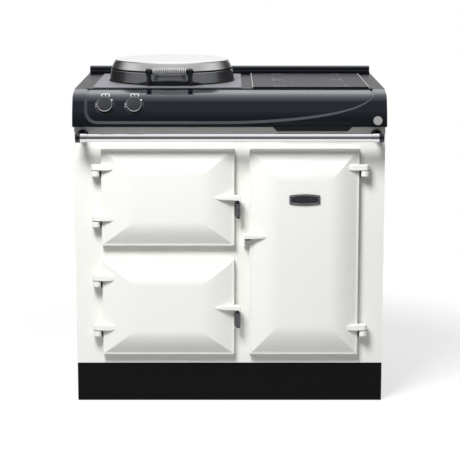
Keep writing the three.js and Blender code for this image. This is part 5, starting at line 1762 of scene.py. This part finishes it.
            # Washer in the hinge's play; its black is painted shadow of that gap.
            washer = turned(f"hinge_washer_{self.name}_{word}", ring, foot, sides=32)
            dress(smooth(washer), BLACK_PLASTIC, "cooker_body")
            inner = self.boss + self.shadow_wedge_gap
            outer = inner + self.shadow_wedge_thickness
            high_z, low_z = top + self.play - SEAT, top - self.block_height
            foot_z = low_z - self.shadow_wedge_drop
            wedge = [
                (inner, high_z),
                (outer, high_z),
                (outer, foot_z),
                (inner + self.shadow_wedge_taper, foot_z),
                (inner, low_z),
            ]
            outline = [(axis.x - self.side * x, z) for x, z in wedge]
            depth = axis.y - self.shadow_wedge_half, axis.y + self.shadow_wedge_half
            name = f"hinge_guard_{self.name}_{word}"
            # Black wedge between block and door: painted shadow of that gap.
            shadow_wedge = prism(name, outline, "Y", depth, self.shadow_wedge_edge)
            dress(smooth(shadow_wedge), SILICONE_AND_SHADOW, "cooker_body")

    def build(self) -> None:
        """Build the door and its brackets."""
        self.casting()
        self.liner()
        self.brackets()
        if self.catch_end is CatchEnd.COIL:
            self.handle()


@dataclass
class NamePlate:
    """The bare bowed plate on the crown of the tall door."""

    width: float = 88 * MM
    height: float = 31 * MM
    bow: float = 4 * MM
    border: float = 2.4 * MM
    inlay_width: float = 1.3 * MM
    sink_depth: float = 0.8 * MM
    plate_edge: float = 0.8 * MM
    steps: int = 16

    def outline(self, inset: float) -> list[Row]:
        """Bowed outline, drawn inset from the plate's edge."""
        low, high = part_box("name_plate_blank")
        middle = ((low.x + high.x) / 2, (low.z + high.z) / 2)
        half = self.width / 2 - inset
        rows = []
        for sign in (-1, 1):
            for step in range(self.steps + 1):
                share = step / self.steps
                x = middle[0] + sign * half * (2 * share - 1) * -1
                lift = self.height / 2 - self.bow + 2 * self.bow * 2 * share * (1 - share) - inset
                rows.append((x, middle[1] + sign * lift))
        return rows

    def build(self) -> None:
        """Cut the plate, sink its middle inside a raised border and inlay a bright line."""
        low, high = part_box("name_plate_blank")
        depth = low.y, high.y
        plate = prism("name_plate_finished", self.outline(0), "Y", depth, self.plate_edge)
        depth = low.y - MM, low.y + self.sink_depth
        sink = prism("sink", self.outline(self.border), "Y", depth)
        combine(plate, sink)
        dress(smooth(plate, 30), PHENOLIC, "door_right", "name_plate_blank")
        depth = low.y + 0.1 * MM, low.y + 1.2 * MM
        inlay = prism("name_plate_inlay", self.outline(self.border), "Y", depth)
        bare = self.border + self.inlay_width
        middle = prism("middle", self.outline(bare), "Y", (low.y - MM, low.y + 3 * MM))
        combine(inlay, middle)
        dress(smooth(inlay, 30), SATIN_NICKEL, "door_right")


# ---- ovens


@dataclass
class Oven:
    """A cast oven box with its wire shelf and its heating rod."""

    name: str
    body: str = "cooker_body"
    wire: float = 2.5 * MM
    bar: float = 1.6 * MM
    bars: int = 14
    rim_corner: float = 8 * MM
    bar_rounding: float = 0.3 * MM
    box_edge: float = 2 * MM
    rod_edge: float = 0.2 * MM

    def shelf(self) -> None:
        """Weld the shelf from round wire."""
        node = f"shelf_{self.name}"
        low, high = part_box(node)
        z = (low.z + high.z) / 2
        inset = self.wire
        first, last = (low.x + inset, low.y + inset), (high.x - inset, high.y - inset)
        rim = rounded_box(first, last, self.rim_corner, 4)
        parts = [sweep("rim", [(x, y, z) for x, y in rim], self.wire, True)]
        y0, y1 = low.y + inset, high.y - inset
        pitch = (high.x - low.x - 2 * inset) / (self.bars + 1)
        foot = (low.x + inset + pitch, y0, z)
        profile = rounded_rod(self.bar, y1 - y0, self.bar_rounding)
        first = turned("bar", profile, foot, (0, 1, 0), 10)
        parts.append(first)
        for index in range(1, self.bars):
            parts.append(twin(first, "bar", (pitch * index, 0, 0)))
        dress(smooth(join(parts, node + "_finished"), 60), CHROME, self.body, node)

    def build(self) -> None:
        """Build the oven."""
        refit(f"oven_{self.name}", CAST_IRON, self.body, self.box_edge, 3)
        self.shelf()
        refit(f"oven_element_{self.name}", BLACK_STEEL, self.body, self.rod_edge, 1, 80)


# ---- top


@dataclass
class Top:
    """Top plate, hotplate with its surround, glass hob and rear bar."""

    body: str = "cooker_body"
    glass_edge: float = 1.2 * MM
    trim_width: float = 2.8 * MM
    trim_lift: float = 0.6 * MM  # over the glass
    trim_edge: float = 0.8 * MM
    plate_edge: float = 1 * MM
    plate_rounding: float = 2 * MM
    ring_shares: Row = (0.72, 0.4)  # where the hotplate's two grooves run
    ring_half: float = 1.5 * MM
    ring_depth: float = 1 * MM
    print_lift: float = 0.15 * MM
    print_root: float = 0.05 * MM
    print_edge: float = 0.02 * MM
    zone_half: Row = (104 * MM, 98 * MM)
    zone_run: float = 34 * MM
    line_width: float = 2.4 * MM
    touch_inset: float = 14 * MM
    touch_length: float = 224 * MM
    touch_count: int = 13
    touch_radius: float = 2.6 * MM

    def plates(self) -> None:
        """Refine the top plate, the surround, the bar and the hidden pieces."""
        for node, finish, rounding in (
            ("top_plate", TOP_ENAMEL, 2 * MM),
            ("hotplate_surround", BRUSHED_STEEL, 0.9 * MM),
            ("rear_bar", BLACK_ENAMEL, 1.2 * MM),
            ("hob_tray", ZINC_STEEL, 0.3 * MM),
            ("induction_coil_front", ringed(COPPER, "induction_coil_front"), 1 * MM),
            ("induction_coil_rear", ringed(COPPER, "induction_coil_rear"), 1 * MM),
            ("hotplate_pan", ZINC_STEEL, 0.8 * MM),
            ("hotplate_element", BLACK_STEEL, 1.5 * MM),
        ):
            refit(node, finish, self.body, rounding, 2, 25)

    def hotplate(self) -> None:
        """Turn the hotplate with two shallow grooves in its top."""
        low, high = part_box("hotplate")
        radius, height = (high.x - low.x) / 2, high.z - low.z
        rounding, half = self.plate_rounding, self.ring_half
        rows = [(0, 0), (radius - self.plate_edge, 0), (radius, self.plate_edge)]
        rows += arc((radius - rounding, height - rounding), rounding, 0, 90, 4)
        for share in self.ring_shares:
            at = radius * share
            rows += [(at + half, height), (at, height - self.ring_depth), (at - half, height)]
        rows.append((0, height))
        foot = ((low.x + high.x) / 2, (low.y + high.y) / 2, low.z)
        plate = smooth(turned("hotplate_finished", rows, foot, sides=96), 30)
        dress(plate, ringed(MACHINED_IRON, "hotplate"), self.body, "hotplate")

    def hob(self) -> None:
        """Bevel the glass and lay its side trims and its marks."""
        low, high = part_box("hob_glass")
        glass = smooth(block("hob_glass_finished", low, high, self.glass_edge))
        dress(glass, GLASS_CERAMIC, self.body, "hob_glass")
        width = self.trim_width
        for side, x in (("left", low.x - SEAT - width), ("right", high.x + SEAT)):
            first, last = (x, low.y, low.z), (x + width, high.y, high.z + self.trim_lift)
            trim = block(f"hob_trim_{side}", first, last, self.trim_edge)
            dress(smooth(trim), SATIN_NICKEL, self.body)
        self.zone_marks(high.z)
        self.touch_marks(low, high)

    def zone_marks(self, level: float) -> None:
        """Print the corner angles of the two cooking zones on the glass."""
        top, root = level + self.print_lift, level - self.print_root
        for zone in ("front", "rear"):
            low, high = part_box(f"induction_coil_{zone}")
            middle = (low + high) / 2
            bars = []
            for sx in (-1, 1):
                for sy in (-1, 1):
                    x, y = middle.x + sx * self.zone_half[0], middle.y + sy * self.zone_half[1]
                    for run in ((self.zone_run, self.line_width), (self.line_width, self.zone_run)):
                        ends = sorted((x, x - sx * run[0])), sorted((y, y - sy * run[1]))
                        first, last = zip(*ends)
                        bars.append(block("bar", (*first, root), (*last, top), self.print_edge))
            dress(join(bars, f"zone_mark_{zone}"), GLASS_PRINT, self.body)

    def touch_marks(self, low: Vector, high: Vector) -> None:
        """Print a row of plain dots along the front of the glass."""
        middle, y = (low.x + high.x) / 2, low.y + self.touch_inset
        pitch = self.touch_length / (self.touch_count - 1)
        radius, root, top = self.touch_radius, -self.print_root, self.print_lift
        rows = [(0, root), (radius, root), (radius, top), (0, top)]
        start = middle - self.touch_length / 2
        first = turned("touch", rows, (start, y, high.z), sides=12)
        dots = [first] + [twin(first, "touch", (pitch * at, 0, 0)) for at in range(1, self.touch_count)]
        dress(join(dots, "touch_marks"), GLASS_PRINT, self.body)

    def build(self) -> None:
        """Build the top."""
        self.plates()
        self.hotplate()
        self.hob()


@dataclass
class Lid:
    """The domed lid with its handle and its hinge."""

    body: str = "hotplate_lid"
    rim: float = 189 * MM
    waist: float = 182.5 * MM
    shoulder: float = 170 * MM
    waist_height: float = 34.4 * MM
    shoulder_height: float = 65 * MM
    crown: float = 4 * MM
    wall: float = 3 * MM
    lip: float = 0.6 * MM
    rounding: float = 9 * MM  # of the shoulder
    shoulder_inset: float = 6.3 * MM
    turn_steps: int = 128
    groove: float = 1.5 * MM
    groove_lip: float = 0.4 * MM
    groove_height: float = 5.2 * MM
    grip_radius: float = 12 * MM
    grip_turns: int = 18
    grip_wire: float = 1.35 * MM
    grip_waist: float = 3.2 * MM
    grip_core: float = 6.8 * MM
    knuckle: float = 10.6 * MM
    knuckle_length: float = 17 * MM
    saddle_angle: float = 30.0
    saddle_radius: float = 8.6 * MM
    saddle_gap: float = 0.6 * MM
    saddle_lift: float = 0.4 * MM
    saddle_steps: int = 24
    saddle_taper: Row = (0.74, 1.7)  # how much it thins to its ends, and how late
    arm_radius: float = 10 * MM
    arm_waist: float = 0.3
    arm_lift: float = 7 * MM
    arm_sag: Row = (7 * MM, 4 * MM)  # how far its middle bends out and down
    arm_steps: int = 12
    knuckle_rounding: float = 4 * MM
    knuckle_gap: float = 1 * MM
    bead_radius: float = 4.2 * MM
    bead_place: Row = (3 * MM, 0.6 * MM)
    stud_radius: float = 4.4 * MM
    stud_root: float = 2 * MM
    stud_lean: Row = (-0.6, 0.2)
    core_play: float = 0.8 * MM
    # Height of the black band at the rim's foot, painted shadow of the line under the lid:
    rim_shadow_band: float = 3.6 * MM
    band_play: float = 0.1 * MM
    band_sink: float = 0.8 * MM
    band_root: float = 1.2 * MM
    band_proud: float = 0.2 * MM
    voxel: float = 1.3 * MM
    hinge_edge: float = 1 * MM

    def __post_init__(self) -> None:
        """Take the lid's axis from the CAD."""
        low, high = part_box("lid_dome")
        self.foot = Vector(((low.x + high.x) / 2, (low.y + high.y) / 2, low.z))

    def dome(self) -> None:
        """Turn the dome with its groove and its rounded shoulder."""
        waist, low, high = self.waist, self.waist_height, self.waist_height + self.groove_height
        top, crown = self.shoulder_height, self.shoulder_height + self.crown
        rounding, lip = self.rounding, self.groove_lip
        outer = [
            (self.rim - self.wall, 0),
            (self.rim - self.lip, 0),
            (self.rim, self.lip),
            (self.rim - 0.7 * MM, 4 * MM),
            (waist + 0.3 * MM, low - 1 * MM),
            (waist, low - lip),
            (waist - lip, low),
            (waist - self.groove, low),
            (waist - self.groove, high),
            (waist - lip, high),
            (waist - 0.3 * MM, high + lip),
            (waist - 5.1 * MM, high + 10 * MM),
            (waist - 8.9 * MM, high + 17 * MM),
        ]
        outer += arc((self.shoulder - self.shoulder_inset, top - rounding), rounding, 31, 88, 8)
        for share in (0.8, 0.6, 0.4, 0.2):
            outer.append((self.shoulder * share, crown - (crown - top) * share**2))
        inner = [
            (0, crown - self.wall),
            (self.shoulder - 6 * MM, top - self.wall - 2 * MM),
            (waist - self.groove - self.wall, high),
            (waist - self.groove - self.wall, low),
        ]
        profile = [*outer, (0, crown), *inner]
        lid = self.closed_turn("lid_dome_finished", profile)
        dress(smooth(lid, 30), SPUN_CHROME, self.body, "lid_dome")

    def closed_turn(self, name: str, profile: list[Row]) -> Object:
        """Turn a profile that touches the axis only between its ends.

        Args:
            name: name of the piece.
            profile: its points, from the outer rim over the axis to the inner rim.

        Returns:
            The piece.
        """
        at = next(index for index, row in enumerate(profile) if row[0] < TINY)
        rows = [*profile[at + 1 :], *profile[: at + 1]]
        return turned(name, rows, self.foot, sides=self.turn_steps)

    def bands(self) -> None:
        """Fill the groove, line the foot of the rim with a black band as painted shadow of the dark line
        under the lid, and polish the skirt between them.
        """
        waist, low, high = self.waist, self.waist_height, self.waist_height + self.groove_height
        floor, play = waist - self.groove - 0.5 * MM, self.band_play
        groove_band = [
            (floor, low + play),
            (waist - self.band_sink, low + play),
            (waist - self.band_sink, high - play),
            (floor, high - play),
        ]
        skirt = [
            (self.rim - 0.5 * MM, 4.2 * MM),
            (waist + 0.55 * MM, low - 1 * MM),
            (waist + 0.2 * MM, low - 0.5 * MM),
            (waist - 0.6 * MM, low - 1.2 * MM),
            (self.rim - 1.6 * MM, 4.4 * MM),
        ]
        inner, outer = self.rim - self.band_root, self.rim + self.band_proud
        rim_shadow_band = [
            (inner, play),
            (outer, play),
            (outer, self.rim_shadow_band - 0.5 * MM),
            (outer - 0.5 * MM, self.rim_shadow_band),
            (inner, self.rim_shadow_band),
        ]
        for name, finish, rows in (
            ("lid_groove_band", SILICONE_AND_SHADOW, groove_band),
            ("lid_skirt", POLISHED_CHROME, skirt),
            # The rim band's black is painted shadow of the dark line under the lid.
            ("lid_rim_band", SILICONE_AND_SHADOW, rim_shadow_band),
        ):
            band = smooth(turned(name, rows, self.foot, sides=self.turn_steps), 30)
            dress(band, finish, self.body)

    def saddle_reach(self) -> float:
        """Distance from the lid's axis to the middle of the saddle."""
        return self.rim + self.saddle_gap + self.saddle_radius

    def saddle(self) -> Object:
        """Bend the saddle round the rim, thick in its middle and pointed at its ends; as well as carrying
        the arms, its wide black spread along the rim is painted reflection of the dark fascia in the lid.
        """
        reach, radius, half = self.saddle_reach(), self.saddle_radius, self.saddle_steps / 2
        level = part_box("lid_handle_frame")[0].z + radius + self.saddle_lift
        thinning, power = self.saddle_taper
        route, shares = [], []
        for step in range(self.saddle_steps + 1):
            turn = math.radians(self.saddle_angle * (step / half - 1))
            share = 1 - thinning * abs(step / half - 1) ** power
            place = self.foot + Vector((math.sin(turn), -math.cos(turn), 0)) * reach
            lost = radius * (1 - share)
            inwards = (self.foot - place).to_2d() / reach * lost
            route.append((place.x + inwards.x, place.y + inwards.y, level - lost))
            shares.append(share)
        return sweep(
            "saddle", route, radius, taper=lambda at: shares[round(at * self.saddle_steps)]
        )

    def arm(self, x: float, middle: Vector) -> list[Object]:
        """Shape one arm from the saddle up to its knuckle, with the knuckle's bead."""
        reach, across = self.saddle_reach(), x - self.foot.x
        root_y = self.foot.y - math.sqrt(reach**2 - across**2)
        foot = Vector((x, root_y, self.foot.z + self.arm_lift))
        top = Vector((x, middle.y, middle.z))
        out, down = self.arm_sag
        elbow = Vector((x, (foot.y + top.y) / 2 - out, (foot.z + top.z) / 2 - down))
        route = bend(foot, elbow, top, self.arm_steps)
        stem = sweep(
            "stem", route, self.arm_radius,
            taper=lambda at: 1 - self.arm_waist * math.sin(math.pi * at),
        )
        start = (x - self.knuckle_length / 2, middle.y, middle.z)
        rows = rounded_rod(self.knuckle, self.knuckle_length, self.knuckle_rounding)
        knuckle = turned("knuckle", rows, start, (1, 0, 0), 40)
        deselect()
        back, proud = self.bead_place
        lift = self.knuckle - self.bead_radius + proud
        place = (x, middle.y + back, middle.z + lift)
        bpy.ops.mesh.primitive_uv_sphere_add(radius=self.bead_radius, location=place)
        return [stem, knuckle, settle(bpy.context.active_object)]

    def handle(self) -> None:
        """Cast the handle's frame in one, set its studs and wind its grip round a core."""
        low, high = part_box("lid_handle_coil")
        middle = (low + high) / 2
        gap = self.knuckle_gap + self.knuckle_length / 2
        parts = [self.saddle()]
        for x in (low.x - gap, high.x + gap):
            parts += self.arm(x, middle)
        casting = join(parts, "lid_handle_frame_finished")
        modify(casting, "REMESH", mode="VOXEL", voxel_size=self.voxel)
        modify(casting, "SMOOTH", factor=0.5, iterations=8)
        dress(smooth(casting, 60), BLACK_ENAMEL, self.body, "lid_handle_frame")
        rows = [
            (0, -self.stud_root),
            (self.stud_radius, -self.stud_root),
            *arc((self.stud_radius - 1 * MM, 0.4 * MM), 1 * MM, 0, 90, 4),
            (0, 1.7 * MM),
        ]
        for side, sign in (("left", -1), ("right", 1)):
            outer = (low.x if sign < 0 else high.x) + sign * (self.knuckle_gap + self.knuckle_length)
            place, axis = (outer, middle.y, middle.z), (sign, *self.stud_lean)
            stud = turned(f"lid_handle_stud_{side}", rows, place, axis, 24)
            dress(smooth(stud), CHROME, self.body)
        foot = Vector((low.x, middle.y, middle.z))
        length = high.x - low.x
        grip = coil(
            "lid_handle_grip", foot, (1, 0, 0), self.grip_radius, self.grip_wire, length,
            self.grip_turns, self.grip_waist,
        )
        dress(smooth(grip, 60), NICKEL_WIRE, self.body, "lid_handle_coil")
        rows = rounded_rod(self.grip_core, length + 2 * self.core_play, 1 * MM)
        core_foot = foot - Vector((self.core_play, 0, 0))
        core = turned("lid_handle_core", rows, core_foot, (1, 0, 0), 32)
        dress(smooth(core), SILICONE_AND_SHADOW, self.body)

    def build(self) -> None:
        """Build the lid."""
        self.dome()
        self.bands()
        self.handle()
        for node, finish, body in (
            ("lid_liner", CAST_ALUMINIUM, self.body),
            ("lid_hinge_arm", CHROME, self.body),
            ("lid_hinge_block", BLACK_ENAMEL, "cooker_body"),
        ):
            refit(node, finish, body, self.hinge_edge)


# ---- cooker


def main() -> None:
    """Build the cooker and its studio."""
    logging.basicConfig(level=logging.INFO, format="%(name)s: %(message)s")
    Studio().build()
    small, tall = (96 * MM, 76 * MM), (84 * MM, 92 * MM)
    for part in (
        Casing(),
        Fascia(),
        Controls(),
        TowelRail(),
        OvenDoor("upper_left", -1, small, CatchEnd.COIL),
        OvenDoor("lower_left", -1, small, CatchEnd.COIL),
        OvenDoor("right", 1, tall, CatchEnd.HOOK),
        NamePlate(),
        Oven("roasting"),
        Oven("simmering"),
        Oven("slow"),
        Top(),
        Lid(),
    ):
        part.build()
        LOG.info("%s built", type(part).__name__)


if __name__ == "__main__":
    main()
